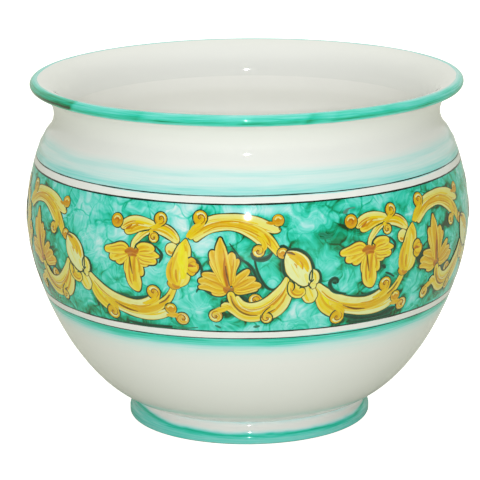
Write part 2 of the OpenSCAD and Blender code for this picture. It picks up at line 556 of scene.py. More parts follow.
def glaze(tree, colour, where, roughness=GLAZE_ROUGHNESS):
    """The glassy surface itself, with the faint waves that a melted glaze keeps."""
    peel = noise_at(tree, where, (ORANGE_PEEL_MM,) * 3)
    bump = add(tree, "ShaderNodeBump", {
        "Strength": 1.0, "Distance": ORANGE_PEEL_DEPTH_MM * MM, "Height": peel})
    surface = add(tree, "ShaderNodeBsdfPrincipled", {
        "Base Color": colour, "Roughness": roughness, "IOR": GLAZE_IOR, "Normal": bump})
    add(tree, "ShaderNodeOutputMaterial", {"Surface": surface})
    print(len(tree.nodes), "nodes under one glaze")
    return surface


# %% [markdown]
# The wall's own paint has two parts. Outside the band the turning pot was washed with thin copper: the brush
# stood still while the wheel ran, so the wash has level edges and fine level streaks. Each pair below is a
# height on the pot in mm and the wash's density there. Inside the band the ground was dabbed on by hand
# between the scrolls. Its density is stored on the mesh in later steps, as `pigment`, and the material only
# adds what a mesh is too coarse for.

# %% Tin glaze on the wall, with washes and the band's ground
UPPER_WASH = (
    (219.4, 0.0), (219.9, 0.26), (222.0, 0.31), (224.5, 0.27), (227.0, 0.15), (229.5, 0.12), (232.0, 0.12),
    (233.6, 0.17), (235.6, 0.14), (238.4, 0.04), (241.2, 0.0),
)
LOWER_WASH = (
    (84.0, 0.0), (92.0, 0.03), (97.0, 0.10), (100.0, 0.22), (102.5, 0.45), (105.5, 0.62), (107.6, 0.54),
    (108.3, 0.0),
)
STREAKS_MM = (38, 38, 1.3)
STREAK_DEPTH = 1.3
WASH_EDGE_MM = (60, 60, 14)
WASH_EDGE_PLAY = 4.0

tin_glaze, tree = material("tin_glaze_washed_and_banded")
where = in_mm(tree)
high = add(tree, SEPARATE, {0: where}).outputs["Z"]
level_streaks = noise_at(tree, where, STREAKS_MM, detail=3.0)
uneven_edge = noise_at(tree, where, WASH_EDGE_MM, detail=1.0)
moved = add(tree, MATH, {0: uneven_edge, 1: WASH_EDGE_PLAY, 2: high}, operation="MULTIPLY_ADD")
washes = add(tree, MATH, {
    0: stops(tree, moved, UPPER_WASH), 1: stops(tree, moved, LOWER_WASH)}, operation="ADD")
streaky = add(tree, MATH, {0: level_streaks, 1: STREAK_DEPTH, 2: 1.0}, operation="MULTIPLY_ADD")
washes = add(tree, MATH, {0: washes, 1: streaky}, operation="MULTIPLY")
over_low = add(tree, MATH, {0: high, 1: BAND_LOW}, operation="GREATER_THAN")
under_top = add(tree, MATH, {0: high, 1: BAND_TOP}, operation="LESS_THAN")
in_band = add(tree, MATH, {0: over_low, 1: under_top}, operation="MULTIPLY")
print("washes up to", UPPER_WASH[-1][0], "mm and down to", LOWER_WASH[0][0], "mm")

# %% [markdown]
# The ground was dabbed with a soft, flat brush, so each dab has its own tone and its own direction. A smooth
# Voronoi pattern gives the dabs: its colour output is one random value for each dab, and its position output
# is the dab's middle. Noise that is stretched along the dab's direction gives the hairs. Two layers of dabs,
# large and small, lie over each other. Wet paint also creeps to the rim of a small dab and dries darker
# there, in some places more than in others.

# %% The band's ground in the glaze: dabs, each streaked in its own direction by the brush's hairs
# Each layer is the dabs' size in mm, how much their tones differ, the streaks' strength and a hair's length
# and breadth in mm
DAB_LAYERS = ((30.0, 0.20, 0.50, (30, 4.5)), (16.0, 0.17, 0.36, (18, 2.4)))
BEND_SCALE, BEND = 0.06, 1.1
DAB_SOFTNESS = 0.12
DAB_LEAN = 1.5
HAIR_SHIFT = 90.0
CLOUD_MM, CLOUDS = (14, 14, 9), 0.16
RIM_SHARE = 0.08
POOLED_MM, POOLED_FROM, POOLED_TO, POOLED = (20, 20, 14), -0.12, 0.22, 0.3
ground = add(tree, STORED, attribute_name="pigment").outputs["Fac"]
for dab_mm, tone, streaks, hair_mm in DAB_LAYERS:
    bent = add(tree, NOISE, {"Vector": where, "Scale": BEND_SCALE, "Detail": 1.0}).outputs["Color"]
    bent = add(tree, VECTOR, {0: bent, "Scale": dab_mm * BEND}, operation="SCALE")
    bent = add(tree, VECTOR, {0: where, 1: bent}, operation="ADD")
    dab = add(tree, VORONOI, {
        "Vector": bent, "Scale": 1 / dab_mm, "Smoothness": DAB_SOFTNESS}, feature="SMOOTH_F1")
    own = add(tree, "ShaderNodeSeparateColor", {0: dab.outputs["Color"]})
    own_tone = add(tree, MATH, {0: own.outputs["Red"], 1: 0.5}, operation="SUBTRACT")
    ground = add(tree, MATH, {0: own_tone, 1: tone, 2: ground}, operation="MULTIPLY_ADD")
    outwards = add(tree, VECTOR, {0: dab.outputs["Position"], 1: (1.0, 1.0, 0.0)}, operation="MULTIPLY")
    sidewards = add(tree, VECTOR, {0: (0.0, 0.0, 1.0), 1: outwards}, operation="CROSS_PRODUCT")
    sidewards = add(tree, VECTOR, {0: sidewards}, operation="NORMALIZE")
    lean = add(tree, MATH, {
        0: own.outputs["Green"], 1: 2 * DAB_LEAN, 2: -DAB_LEAN}, operation="MULTIPLY_ADD")
    stroke_way = add(tree, "ShaderNodeVectorRotate", {
        "Vector": sidewards, "Axis": outwards, "Angle": lean}, rotation_type="AXIS_ANGLE")
    square_to_it = add(tree, "ShaderNodeVectorRotate", {
        "Vector": (0.0, 0.0, 1.0), "Axis": outwards, "Angle": lean}, rotation_type="AXIS_ANGLE")
    from_middle = add(tree, VECTOR, {0: bent, 1: dab.outputs["Position"]}, operation="SUBTRACT")
    in_dab = add(tree, COMBINE, {
        0: add(tree, VECTOR, {0: from_middle, 1: stroke_way}, operation="DOT_PRODUCT").outputs["Value"],
        1: add(tree, VECTOR, {0: from_middle, 1: square_to_it}, operation="DOT_PRODUCT").outputs["Value"],
        2: add(tree, MATH, {0: own.outputs["Blue"], 1: HAIR_SHIFT}, operation="MULTIPLY")})
    brushed = noise_at(tree, in_dab, (*hair_mm, 1), detail=1.2, distortion=0.2)
    ground = add(tree, MATH, {0: brushed, 1: streaks, 2: ground}, operation="MULTIPLY_ADD")
clouds = noise_at(tree, where, CLOUD_MM, detail=2.0, distortion=0.8)
ground = add(tree, MATH, {0: clouds, 1: CLOUDS, 2: ground}, operation="MULTIPLY_ADD")
rim = add(tree, VORONOI, {"Vector": bent, "Scale": 1 / dab_mm}, feature="DISTANCE_TO_EDGE")
rim = add(tree, RANGE, {
    "Value": rim.outputs["Distance"], "From Max": RIM_SHARE, "To Min": 1.0, "To Max": 0.0},
    interpolation_type="SMOOTHSTEP")
pooled = noise_at(tree, where, POOLED_MM, detail=1.0)
pooled = add(tree, RANGE, {
    "Value": pooled, "From Min": POOLED_FROM, "From Max": POOLED_TO, "To Max": POOLED})
ground = add(tree, MATH, {0: rim, 1: pooled, 2: ground}, operation="MULTIPLY_ADD")
print(len(DAB_LAYERS), "layers of dabs,", len(tree.nodes), "nodes so far")

# %% The wall's glaze: washes, band and the inside's whiter white, which is painted light, together
outer = add(tree, STORED, attribute_name="outer").outputs["Fac"]
banded = add(tree, MIX, {0: in_band, 2: washes, 3: ground})
outside_colour = stops(tree, banded, COPPER, colours=True)
# Inside, the glaze takes the lighter white: painted light for the shaded inside
colour = add(tree, MIX, {
    0: outer, 6: linear(INSIDE_GLAZE_PAINTED_LIGHTER), 7: outside_colour}, data_type="RGBA").outputs[2]
glaze(tree, colour, where)

# %% [markdown]
# The lip was painted with one loaded brush while the pot turned. The paint is thin at its two edges, thicker
# on the roundest part, and streaked along the lip by the brush's hairs. Where a stroke starts again over the
# end of the last one it is darker. `run` is the distance along the lip's profile, stored by the wheel, and
# `again` is the extra paint at each new start, which the lip's mesh gets when it is turned.

# %% Copper paint on the lip
LIP_PAINT = (
    (25.0, 0.0), (26.6, 0.06), (27.6, 0.26), (29.0, 0.44), (30.6, 0.55), (31.8, 0.70), (33.0, 0.62),
    (35.0, 0.48), (37.4, 0.52), (39.4, 0.38), (40.8, 0.24), (41.6, 0.36), (42.1, 0.05), (43.0, 0.0),
)
EDGE_PLAY_MM = 2.6
LIP_HAIRS, LIP_LOADING = 0.95, 0.45
LIP_EDGE_MM, LIP_HAIRS_MM, LIP_LOADING_MM = (26, 26, 30), (30, 30, 0.9), (45, 45, 9)

lip_glaze, tree = material("copper_brushed_lip")
where = in_mm(tree)
run_mm = add(tree, STORED, attribute_name="run").outputs["Fac"]
flat = add(tree, SEPARATE, {0: where})
round_lip = add(tree, COMBINE, {0: flat.outputs["X"], 1: flat.outputs["Y"], 2: run_mm})
edge_play = noise_at(tree, round_lip, LIP_EDGE_MM, detail=2.0)
run_moved = add(tree, MATH, {0: edge_play, 1: EDGE_PLAY_MM, 2: run_mm}, operation="MULTIPLY_ADD")
brushed_on = stops(tree, run_moved, LIP_PAINT)
brush_hairs = noise_at(tree, round_lip, LIP_HAIRS_MM, detail=3.0, distortion=0.3)
loading = noise_at(tree, round_lip, LIP_LOADING_MM, detail=2.0, distortion=1.0)
thick = add(tree, MATH, {0: brush_hairs, 1: LIP_HAIRS, 2: 1.0}, operation="MULTIPLY_ADD")
thick = add(tree, MATH, {0: loading, 1: LIP_LOADING, 2: thick}, operation="MULTIPLY_ADD")
again = add(tree, STORED, attribute_name="again").outputs["Fac"]
thick = add(tree, MATH, {0: thick, 1: again}, operation="ADD")
density = add(tree, MATH, {0: brushed_on, 1: thick}, operation="MULTIPLY")
glaze(tree, stops(tree, density, COPPER, colours=True), where)

# %% [markdown]
# The foot's bead was painted the same way. A darker line marks where paint pooled under the hollow, the
# hollow itself stayed white, and a little aqua ran into the crease. At the two sides of the pot the brush
# climbed higher: `lifted` says by how many mm, and the densities below the standing face serve only there.
# The ring that the pot stands on was wiped clean before firing, or it would have stuck to the kiln shelf:
# there the buff clay is bare and dry.

# %% Copper paint and bare clay on the foot
FOOT_PAINT = (
    (-9.0, 0.62), (-5.0, 0.56), (-2.0, 0.46), (0.0, 0.40), (2.0, 0.42), (3.6, 0.40), (4.8, 0.44),
    (6.0, 0.56), (7.4, 0.65), (8.4, 0.48), (9.4, 0.22), (10.4, 0.07), (11.6, 0.0), (15.0, 0.0),
    (16.6, 0.05), (17.6, 0.14),
)
CLAY = "C9B091"
CLAY_ROUGHNESS = 0.85
GROG, GROG_MM = 0.35, (1.5, 1.5, 1.5)
GLAZE_LINE_MM = 0.7
GLAZE_LINE_PLAY_MM = 0.8
GLAZE_EDGE_MM = 0.3
RAGGED_MM = (6, 6, 6)
FOOT_HAIRS, FOOT_HAIRS_MM = 0.9, (24, 24, 0.8)
FOOT_EDGE_PLAY_MM = (22, 22, 8)

foot_glaze, tree = material("copper_brushed_foot_with_bare_clay")
where = in_mm(tree)
flat = add(tree, SEPARATE, {0: where})
edge_play = noise_at(tree, where, FOOT_EDGE_PLAY_MM, detail=2.0)
high_moved = add(tree, MATH, {
    0: edge_play, 1: EDGE_PLAY_MM, 2: flat.outputs["Z"]}, operation="MULTIPLY_ADD")
lifted = add(tree, STORED, attribute_name="lifted").outputs["Fac"]
high_moved = add(tree, MATH, {0: high_moved, 1: lifted}, operation="SUBTRACT")
brush_hairs = noise_at(tree, where, FOOT_HAIRS_MM, detail=3.0, distortion=0.3)
thick = add(tree, MATH, {0: brush_hairs, 1: FOOT_HAIRS, 2: 1.0}, operation="MULTIPLY_ADD")
density = add(tree, MATH, {0: stops(tree, high_moved, FOOT_PAINT), 1: thick}, operation="MULTIPLY")
from_axis = add(tree, VECTOR, {
    0: add(tree, COMBINE, {0: flat.outputs["X"], 1: flat.outputs["Y"]})}, operation="LENGTH")
on_outside = add(tree, MATH, {
    0: from_axis.outputs["Value"], 1: (RING_R + FOOT_R) / 2}, operation="GREATER_THAN")
density = add(tree, MATH, {0: density, 1: on_outside}, operation="MULTIPLY")
ragged = noise_at(tree, where, RAGGED_MM, detail=2.0)
clay_height = add(tree, MATH, {
    0: ragged, 1: GLAZE_LINE_PLAY_MM, 2: flat.outputs["Z"]}, operation="MULTIPLY_ADD")
bare = add(tree, RANGE, {
    "Value": clay_height, "From Min": GLAZE_LINE_MM, "From Max": GLAZE_LINE_MM - GLAZE_EDGE_MM})
grog = noise_at(tree, where, GROG_MM, detail=4.0)
clay_tone = add(tree, MATH, {0: grog, 1: GROG, 2: 1.0}, operation="MULTIPLY_ADD")
clay_colour = add(tree, VECTOR, {0: linear(CLAY)[:3], "Scale": clay_tone}, operation="SCALE")
painted_colour = stops(tree, density, COPPER, colours=True)
colour = add(tree, MIX, {0: bare, 6: painted_colour, 7: clay_colour}, data_type="RGBA").outputs[2]
roughness = add(tree, MIX, {0: bare, 2: GLAZE_ROUGHNESS, 3: CLAY_ROUGHNESS})
glaze(tree, colour, where, roughness)

# %% [markdown]
# Four pieces make the pot: the lip, the wall, the foot ring and the floor disc inside it. The wall's rows
# lie closest together in the painted band, because there the mesh also carries the ground's density. The
# steps round the axis are many, because the pot fills the picture and its outline has to look round.

# %% Turn the wall
BAND_STEP = 1.5
BAND_MARGIN = 9.0
ROWS_BELOW, ROWS_ABOVE, ROWS_INSIDE = 30, 22, 34
WALL_STEPS = 560
JOINT_GAP = 0.2
rows_up = np.concatenate([
    np.linspace(0, band_start - BAND_MARGIN, ROWS_BELOW)[:-1],
    np.arange(band_start - BAND_MARGIN, band_end + BAND_MARGIN, BAND_STEP),
    np.linspace(band_end + BAND_MARGIN, outside_s[-1], ROWS_ABOVE),
])
bowl_part = inside[:, 1] < BELLY_Z
ring_s = float(np.interp(-RING_R, -inside[bowl_part, 0], lengths(inside)[bowl_part]))
wall_inner = along(inside, np.linspace(0, ring_s, ROWS_INSIDE))
dish_z = wall_inner[-1, 1]
wall = turned("painted_wall", [
    along(outside, rows_up),
    wall_inner,
    np.array([[RING_R, FOOT_H], [CREASE_R - JOINT_GAP, FOOT_H]]),
], WALL_STEPS, tin_glaze)

# %% Turn the lip, which is not perfectly level or round
LIP_STEPS = 480
LIP_WOBBLE_MM = 0.9
edge_r = WALL_T / 2
edge_x, edge_z = RIM_R - edge_r, POT_H - edge_r
reach, rise = edge_x - THROAT_R, edge_z - THROAT_Z
flare_r = (reach ** 2 + rise ** 2 - edge_r ** 2) / (2 * (reach + edge_r))
flare_x = THROAT_R + flare_r
flare_a = math.degrees(math.atan2(rise, edge_x - flare_x))
lip_line = join(
    arc(flare_x, THROAT_Z, flare_r, 180, flare_a, 22),
    arc(edge_x, edge_z, edge_r, flare_a + 180, flare_a + 360, 26),
    arc(flare_x, THROAT_Z, flare_r + WALL_T, flare_a, 180, 22),
)
lip = turned("rolled_lip", [lip_line], LIP_STEPS, lip_glaze, wobble=LIP_WOBBLE_MM)

# %% The brush's new starts on the lip
# Each is the angle where the stroke starts, over how many degrees the extra paint fades, to the right or,
# below zero, to the left, and how much denser it is
OVERLAPS = (
    (-27.0, -3.0, 0.16), (17.0, 2.0, 0.28), (24.0, 9.0, 0.12), (-50.0, -60.0, 0.6), (96.0, 4.0, 0.25),
    (163.0, -5.0, 0.25),
)
START_SLANT = 0.25
lip_x, lip_y, lip_z = points_of(lip.data).T
round_lip = np.degrees(np.arctan2(lip_x, -lip_y)) + (POT_H - lip_z / MM) * START_SLANT
again = np.zeros(len(lip_x))
for at, fade, extra in OVERLAPS:
    past = ((round_lip - at + 180) % 360 - 180) / fade
    again += extra * np.where(past > 0, np.exp(-np.abs(past)), np.exp(-(past * fade) ** 2))
store(lip.data, "again", again)
print("up to", round(float(again.max()), 2), "more paint where a stroke starts again")

# %% Turn the foot ring, and lift its paint at the sides
FOOT_STEPS = 360
foot_line = join(
    arc(RING_R + FOOT_EDGE, FOOT_EDGE, FOOT_EDGE, 180, 270, 8),
    arc(FOOT_R - FOOT_EDGE, FOOT_EDGE, FOOT_EDGE, 270, 360, 8),
    np.array([[FOOT_R, FOOT_EDGE + 1.0], [FOOT_R, BEAD_H]]),
    ease(FOOT_R, BEAD_H, FOOT_R - BEAD_OUT, HOLLOW_Z, True, 12),
    ease(FOOT_R - BEAD_OUT, TUCK_Z, CREASE_R, FOOT_H, False, 8),
)
foot_back = np.array([[RING_R, FOOT_H], [RING_R, RECESS_H], [RING_R, FOOT_EDGE + 1.0]])
foot = turned("turned_foot_ring", [foot_line, foot_back], FOOT_STEPS, foot_glaze)

# Each lift is its angle, its half-width in degrees and how far the paint's edge climbs, in mm
LIFTS = ((-82.0, 34.0, 9.0), (92.0, 19.0, 10.0), (178.0, 24.0, 2.0))
foot_x, foot_y, foot_z = points_of(foot.data).T
round_foot = np.degrees(np.arctan2(foot_x, -foot_y))
lifted = sum(
    lift * np.exp(-(((round_foot - at + 180) % 360 - 180) / wide) ** 2) for at, wide, lift in LIFTS)
lifted *= np.clip(foot_z / MM / BEAD_H, 0, 1)
store(foot.data, "lifted", lifted)

# %% Turn the floor
FLOOR_STEPS = 180
dish_part = inside[bowl_part & (inside[:, 0] < RING_R - 0.5)]
floor_top = np.concatenate([[[RING_R, dish_z]], dish_part[:-1:6], [[0.0, FLOOR_Z]]])
floor_under = np.array([[0.0, RECESS_H], [RING_R / 2, RECESS_H], [RING_R, RECESS_H]])
floor_disc = turned("floor_disc", [floor_under, floor_top], FLOOR_STEPS, tin_glaze)

# %% [markdown]
# The band's ground starts as hundreds of overlapping dabs of a soft brush, each an ellipse with its own
# density and a slightly darker rim where the paint dried last. The dice have a fixed seed. Larger soft
# patches then give the front of this pot its own light and dark places, every copy of the scroll gets the
# dark shadows that the painter tucked under its leaves, and last come the washes and short dark strokes that
# only the front has. All this is one density for each point of the wall. It is painted point by point,
# because a material can't know where the scroll's leaves are.

# %% Ground of the band: places, and the painter's dabs
FIRST_WASH = 0.56
DABS = 900
DAB_MEAN, DAB_SPREAD, DAB_STRENGTH = 0.535, 0.17, 0.75
DAB_EDGE, DAB_BLUR = 1.08, 0.22
DAB_LONG, DAB_WIDE, DAB_TILT, DAB_PAST = (7, 17), (4, 8), 0.9, 4
DRIED_RIM, DRIED_AT, DRIED_WIDE = 0.075, 0.92, 0.14
DICE_SEED = 11
wall_points = points_of(wall.data) / MM
wall_r = np.hypot(wall_points[:, 0], wall_points[:, 1])
outer_r = np.interp(wall_points[:, 2], outside[:, 1], outside[:, 0])
is_outer = np.abs(wall_r - outer_r) < WALL_T / 3
wall_u = np.arctan2(wall_points[:, 0], -wall_points[:, 1]) * UNROLL_R
wall_v = np.interp(wall_points[:, 2], outside[:, 1], outside_s) - band_start
pigment = np.full(len(wall_points), FIRST_WASH)
ROUND = 2 * math.pi * UNROLL_R
dice = random.Random(DICE_SEED)


def patch(u, v, ru, rv, lean=0.0):
    """How far each wall point lies from the middle of an ellipse; 1 is the ellipse's edge."""
    du = (wall_u - u + ROUND / 2) % ROUND - ROUND / 2
    dv = wall_v - v
    along_it = du * math.cos(lean) + dv * math.sin(lean)
    across_it = dv * math.cos(lean) - du * math.sin(lean)
    return np.hypot(along_it / ru, across_it / rv)


for _ in range(DABS):
    away = patch(dice.uniform(0, ROUND), dice.uniform(-DAB_PAST, BAND_V + DAB_PAST),
                 dice.uniform(*DAB_LONG), dice.uniform(*DAB_WIDE), dice.gauss(0, DAB_TILT))
    here = np.clip((DAB_EDGE - away) / DAB_BLUR, 0, 1) * DAB_STRENGTH
    pigment += here * (dice.gauss(DAB_MEAN, DAB_SPREAD) - pigment)
    pigment += DRIED_RIM * np.exp(-((away - DRIED_AT) / DRIED_WIDE) ** 2)
print(DABS, "dabs on", int(is_outer.sum()), "points of the wall's outside")

# %% Ground of the band: lights and darks of the front, and shadows under the leaves
# Each patch is its middle (u, v), its two half-widths and the density that it has in its middle
FRONT_PATCHES = (
    (-50, 95, 17, 8, 0.22), (-52, 85, 14, 8, 0.2), (-30, 70, 9, 9, 0.28), (-45, 25, 12, 9, 0.55),
    (-35, 20, 9, 7, 0.35), (15, 50, 12, 12, 0.62), (8, 68, 8, 8, 0.66), (40, 85, 14, 8, 0.55),
    (60, 87, 16, 6, 0.52), (70, 75, 18, 8, 0.72), (62, 66, 14, 4, 0.74), (58, 53, 9, 7, 0.42),
    (72, 42, 11, 8, 0.64), (90, 32, 14, 6, 0.66), (40, 8, 16, 7, 0.55), (62, 8, 10, 6, 0.45),
    (100, 97, 14, 6, 0.5), (120, 46, 9, 9, 0.52), (-10, 6, 22, 7, 0.42), (30, 97, 20, 5, 0.3),
    (15, 98, 18, 4, 0.3), (-100, 62, 14, 16, 0.3), (-135, 80, 18, 14, 0.34), (-150, 50, 16, 12, 0.3),
    (-95, 98, 24, 5, 0.55), (-120, 30, 18, 8, 0.4), (-80, 20, 9, 8, 0.28), (-150, 8, 28, 6, 0.55),
)
SHADOWS = (
    (103, 3.5, 26, 4.5, 0.98), (110, 46, 6, 4, 0.85), (-35, 5, 7, 3, 0.72), (-20, 3.5, 8, 2.5, 0.75),
    (0, 29, 9, 5, 0.85), (14, 33, 7, 5, 0.85), (8, 58, 6, 6, 0.8), (24, 54, 4, 9, 0.8),
    (-33, 54, 6, 4, 0.66), (50, 60, 4, 7, 0.75), (56, 42, 4, 6, 0.75), (80, 27, 20, 3, 0.8),
    (-42, 88, 5, 3, 0.66), (75, 96, 16, 3, 0.62),
)
LAST_WASHES = (
    (-172, 93, 20, 8, 0.34), (-134, 94, 20, 8, 0.26), (-98, 94, 20, 8, 0.32), (-68, 93, 12, 8, 0.32),
    (-160, 60, 12, 16, 0.42), (-138, 64, 12, 14, 0.32), (-116, 52, 11, 15, 0.36), (-82, 44, 12, 12, 0.28),
    (-60, 62, 7, 10, 0.26), (-58, 36, 10, 12, 0.2), (-38, 50, 8, 14, 0.34), (-118, 32, 14, 7, 0.4),
    (-56, 6, 14, 4, 0.58), (2, 97, 18, 4, 0.12), (2, 83, 9, 4, 0.38), (20, 17, 9, 5, 0.36),
    (41, 54, 5, 7, 0.45), (-150, 84, 18, 7, 0.3), (-102, 78, 12, 7, 0.32), (-62, 76, 9, 8, 0.26),
    (-76, 58, 8, 8, 0.28), (60, 76, 9, 2.4, 0.86), (73, 81, 9, 2, 0.8), (64, 70, 12, 2.2, 0.8),
    (80, 71, 8, 2.5, 0.8), (45, 72, 8, 2.2, 0.76), (88, 93, 8, 2, 0.74), (57, 94, 9, 2, 0.68),
    (36, 79, 6, 2, 0.74), (72, 65, 8, 2, 0.78), (62, 57, 7, 2, 0.66), (66, 39, 6, 4, 0.74),
    (60, 47, 5, 3, 0.6), (84, 84, 7, 5, 0.46), (106, 71, 14, 5, 0.4), (195, 8, 26, 8, 0.9),
    (162, 17, 10, 6, 0.88), (-190, 5, 28, 6, 0.86), (-226, 22, 14, 18, 0.82),
)
PATCH_STRENGTH, FRONT_STRENGTH, LATER_STRENGTH = 0.8, 0.85, (0.4, 0.7)


def wash_over(patches, strength, shift=0.0):
    """Draws the density towards each patch's own, most in its middle."""
    for u, v, ru, rv, target in patches:
        pigment[:] += np.exp(-patch(u + shift, v, ru, rv) ** 2) * strength * (target - pigment)


wash_over(FRONT_PATCHES, PATCH_STRENGTH)
for copy in range(REPEATS):
    wash_over(SHADOWS, dice.uniform(*LATER_STRENGTH) if copy else FRONT_STRENGTH, copy * PITCH)
wash_over(LAST_WASHES, FRONT_STRENGTH)
print(len(FRONT_PATCHES) + len(LAST_WASHES), "patches at the front,", len(SHADOWS), "shadows in each copy")

# %% [markdown]
# Now the scroll. A brush stroke is a line with a width that swells and thins, so that is how it is kept: a
# few points, each with a place (u, v) and a half-width in mm. A smooth curve through them is measured out in
# short steps, and its ends are rounded as a loaded brush leaves them. An outline is the same stroke, a
# little wider and longer, drawn first. The edges of the real outlines are never quite even, so their width
# drifts.

# %% Smooth strokes from a few points
SPAN_POINTS = 14
STROKE_STEP = 1.7
END_STEPS = 4
TIP = 0.12
DRIFT, DRIFT_PACE = 0.35, 7.0


def through(points):
    """A dense smooth curve through the points; place and half-width run on together."""
    p = np.array(points, float)
    p = np.concatenate([[2 * p[0] - p[1]], p, [2 * p[-1] - p[-2]]])
    p[0, 2], p[-1, 2] = p[1, 2], p[-2, 2]
    t = np.linspace(0, 1, SPAN_POINTS, endpoint=False)[:, None]
    spans = [
        0.5 * (2 * b + (c - a) * t + (2 * a - 5 * b + 4 * c - d) * t ** 2 + (3 * b - a - 3 * c + d) * t ** 3)
        for a, b, c, d in zip(p, p[1:], p[2:], p[3:])
    ]
    return np.concatenate([*spans, [p[-2]]])


def drift(s, seed, pace):
    """A slow wander between -1 and 1 along a stroke, for lines drawn by hand."""
    return (np.sin(s / pace + seed) + np.sin(s / pace * 2.3 + seed * 1.7)) / 2


def measured(dense, grow_by=0.0, seed=0.0):
    """The stroke in short steps with rounded ends, widened all round by grow_by."""
    ends = [dense[1] - dense[0], dense[-1] - dense[-2]]
    ends = [e / max(np.hypot(e[0], e[1]), 1e-6) * grow_by for e in ends]
    first, last = dense[0].copy(), dense[-1].copy()
    first[:2] -= ends[0][:2]
    last[:2] += ends[1][:2]
    line = np.concatenate([[first], dense, [last]]) if grow_by else dense
    s = lengths(line[:, :2])
    whole = s[-1]
    start_r, end_r = line[0, 2] + grow_by, line[-1, 2] + grow_by
    curl = 1 - np.cos(np.linspace(0, math.pi / 2, END_STEPS + 1))
    places = np.concatenate([
        start_r * curl, np.arange(start_r, whole - end_r, STROKE_STEP), whole - end_r * curl])
    places = np.unique(np.round(np.clip(places, 0, whole), 3))
    out = np.stack([np.interp(places, s, line[:, i]) for i in range(3)], 1)
    out[:, 2] += grow_by * (1 + DRIFT * drift(places, seed, DRIFT_PACE))
    for distance, r in ((places, start_r), (whole - places, end_r)):
        share = np.clip(distance / r, 0, 1)
        out[:, 2] *= np.sqrt(1 - (1 - share) ** 2)
    out[:, 2] = np.maximum(out[:, 2], TIP)
    return out, places / whole


print("a stroke of 10 mm becomes", len(measured(through([(0, 0, 1), (10, 0, 1)]))[0]), "points")

# %% [markdown]
# The painter's colours, as hex values seen on the fired pot. The yellow is an antimony stain: thin it is a
# cream, then gold, and thick it turns amber. A little iron in it makes the rust of the veins. The outlines
# are a dark green-black. `painting` keeps every stroke in the order in which it was painted, with its kind:
# outline, inner ink, leaf, limb, the streaks on both, vein, and what only the front has.

# %% The painter's box and strokes
CREAM, PALE, LEMON, GOLD = "DFE5A5", "E3DC6C", "E4DE00", "E2C90C"
AMBER, OCHRE, RUST, BROWN = "D9AE00", "CB8E00", "AE6200", "4E3800"
INK, SOFT_INK, SHADE, SHADE_EDGE = "08281A", "174A32", "0A301C", "1A6E52"
UMBER, DRY_INK = "8A5A0C", "4F8468"
LEAF_TIP = ("E6D21A", "E6DE72")
OUTLINE = 1.0
HEAVY = 1.3
ROUND_LINE = 1.0
BODY_EDGE = 0.3
SEED_STEP = 1.37
STREAK_POINTS, STREAK_START, STREAK_END = 6, 0.5, 0.35
painting = []


def stroke(kind, points, core, edge=None, grow_by=0.0):
    """Adds one stroke; core and edge are hex colours, or pairs for the stroke's start and end."""
    edge = edge or core
    seed = len(painting) * SEED_STEP
    path, share = measured(through(points), grow_by, seed)
    tints = []
    for paint in (core, edge):
        a, b = (paint, paint) if isinstance(paint, str) else paint
        tints.append(np.outer(1 - share, linear(a)) + np.outer(share, linear(b)))
    painting.append({"kind": kind, "path": path, "core": tints[0], "edge": tints[1]})


def beside(points, offset, start, end, width):
    """Points along a stroke from start to end, both shares of its length, at an offset to its left.

    The offset and the width are shares of the stroke's own half-width."""
    dense = through(points)
    s = lengths(dense[:, :2])
    places = np.linspace(start, end, STREAK_POINTS) * s[-1]
    line = np.stack([np.interp(places, s, dense[:, i]) for i in range(3)], 1)
    d = np.gradient(line[:, :2], axis=0)
    d /= np.linalg.norm(d, axis=1)[:, None]
    line[:, :2] += np.stack([-d[:, 1], d[:, 0]], 1) * line[:, 2:] * offset
    line[:, 2] *= width
    line[0, 2] *= STREAK_START
    line[-1, 2] *= STREAK_END
    return line


print("outlines stand out by", OUTLINE, "mm, and round the leaves by", HEAVY, "mm")

# %% [markdown]
# Everything in the scroll is one of a few forms. A limb or a leaf is several strokes with one outline round
# them all: a darker body, the paint itself, and streaks of thicker paint along it. A knob is a round dab,
# and a curl is a limb's end that rolls up in a spiral. Veins and inner lines are single strokes.

# %% Forms of the scroll
def form(kind, parts, line=OUTLINE, shade=AMBER):
    """One form made of several strokes: the outlines go down first, so they show only round the whole.

    A part is its points, its core and edge paints, and streaks as (offset, start, end, width, paint)."""
    for points, *_ in parts:
        stroke("outline", points, INK, SOFT_INK, grow_by=line)
    for points, core, edge, marks in parts:
        stroke(kind, points, shade, grow_by=BODY_EDGE)
        stroke(kind, points, core, edge)
        for offset, start, end, width, paint in marks:
            stroke(kind + " streak", beside(points, offset, start, end, width), paint, paint)


def leaf(lobes, core, line=HEAVY):
    """A leaf: lobes with pale tips, each with an amber streak and a second, fainter one."""
    streaks = ((0.25, 0.05, 0.75, 0.26, AMBER), (-0.5, 0.1, 0.8, 0.12, OCHRE))
    form("leaf", [(lobe, core, LEAF_TIP, streaks) for lobe in lobes], line, OCHRE)


def disc(u, v, r):
    """Points of a stroke so short that it is a round dab."""
    return [(u - r, v, r), (u, v, r), (u + r, v, r)]


def round_it(u, v, radius, degrees, half_width):
    """Points round (u, v) at a radius and at angles in degrees."""
    a = np.radians(degrees)
    return np.stack([u + radius * np.cos(a), v + radius * np.sin(a), half_width * np.ones(len(a))], 1)


def knob(u, v, r, core=AMBER, edge=GOLD):
    """A round knob with an ochre underside and a pale top."""
    form("leaf", [(disc(u, v, r), core, edge, ())], ROUND_LINE)
    under = round_it(u, v, 0.6 * r, np.linspace(200, 350, 6), 0.24 * r)
    stroke("leaf streak", under, OCHRE, AMBER)
    over = under * [-1, -1, 0.6] + [2 * u, 2 * v, 0]
    stroke("leaf streak", over, PALE, CREAM)


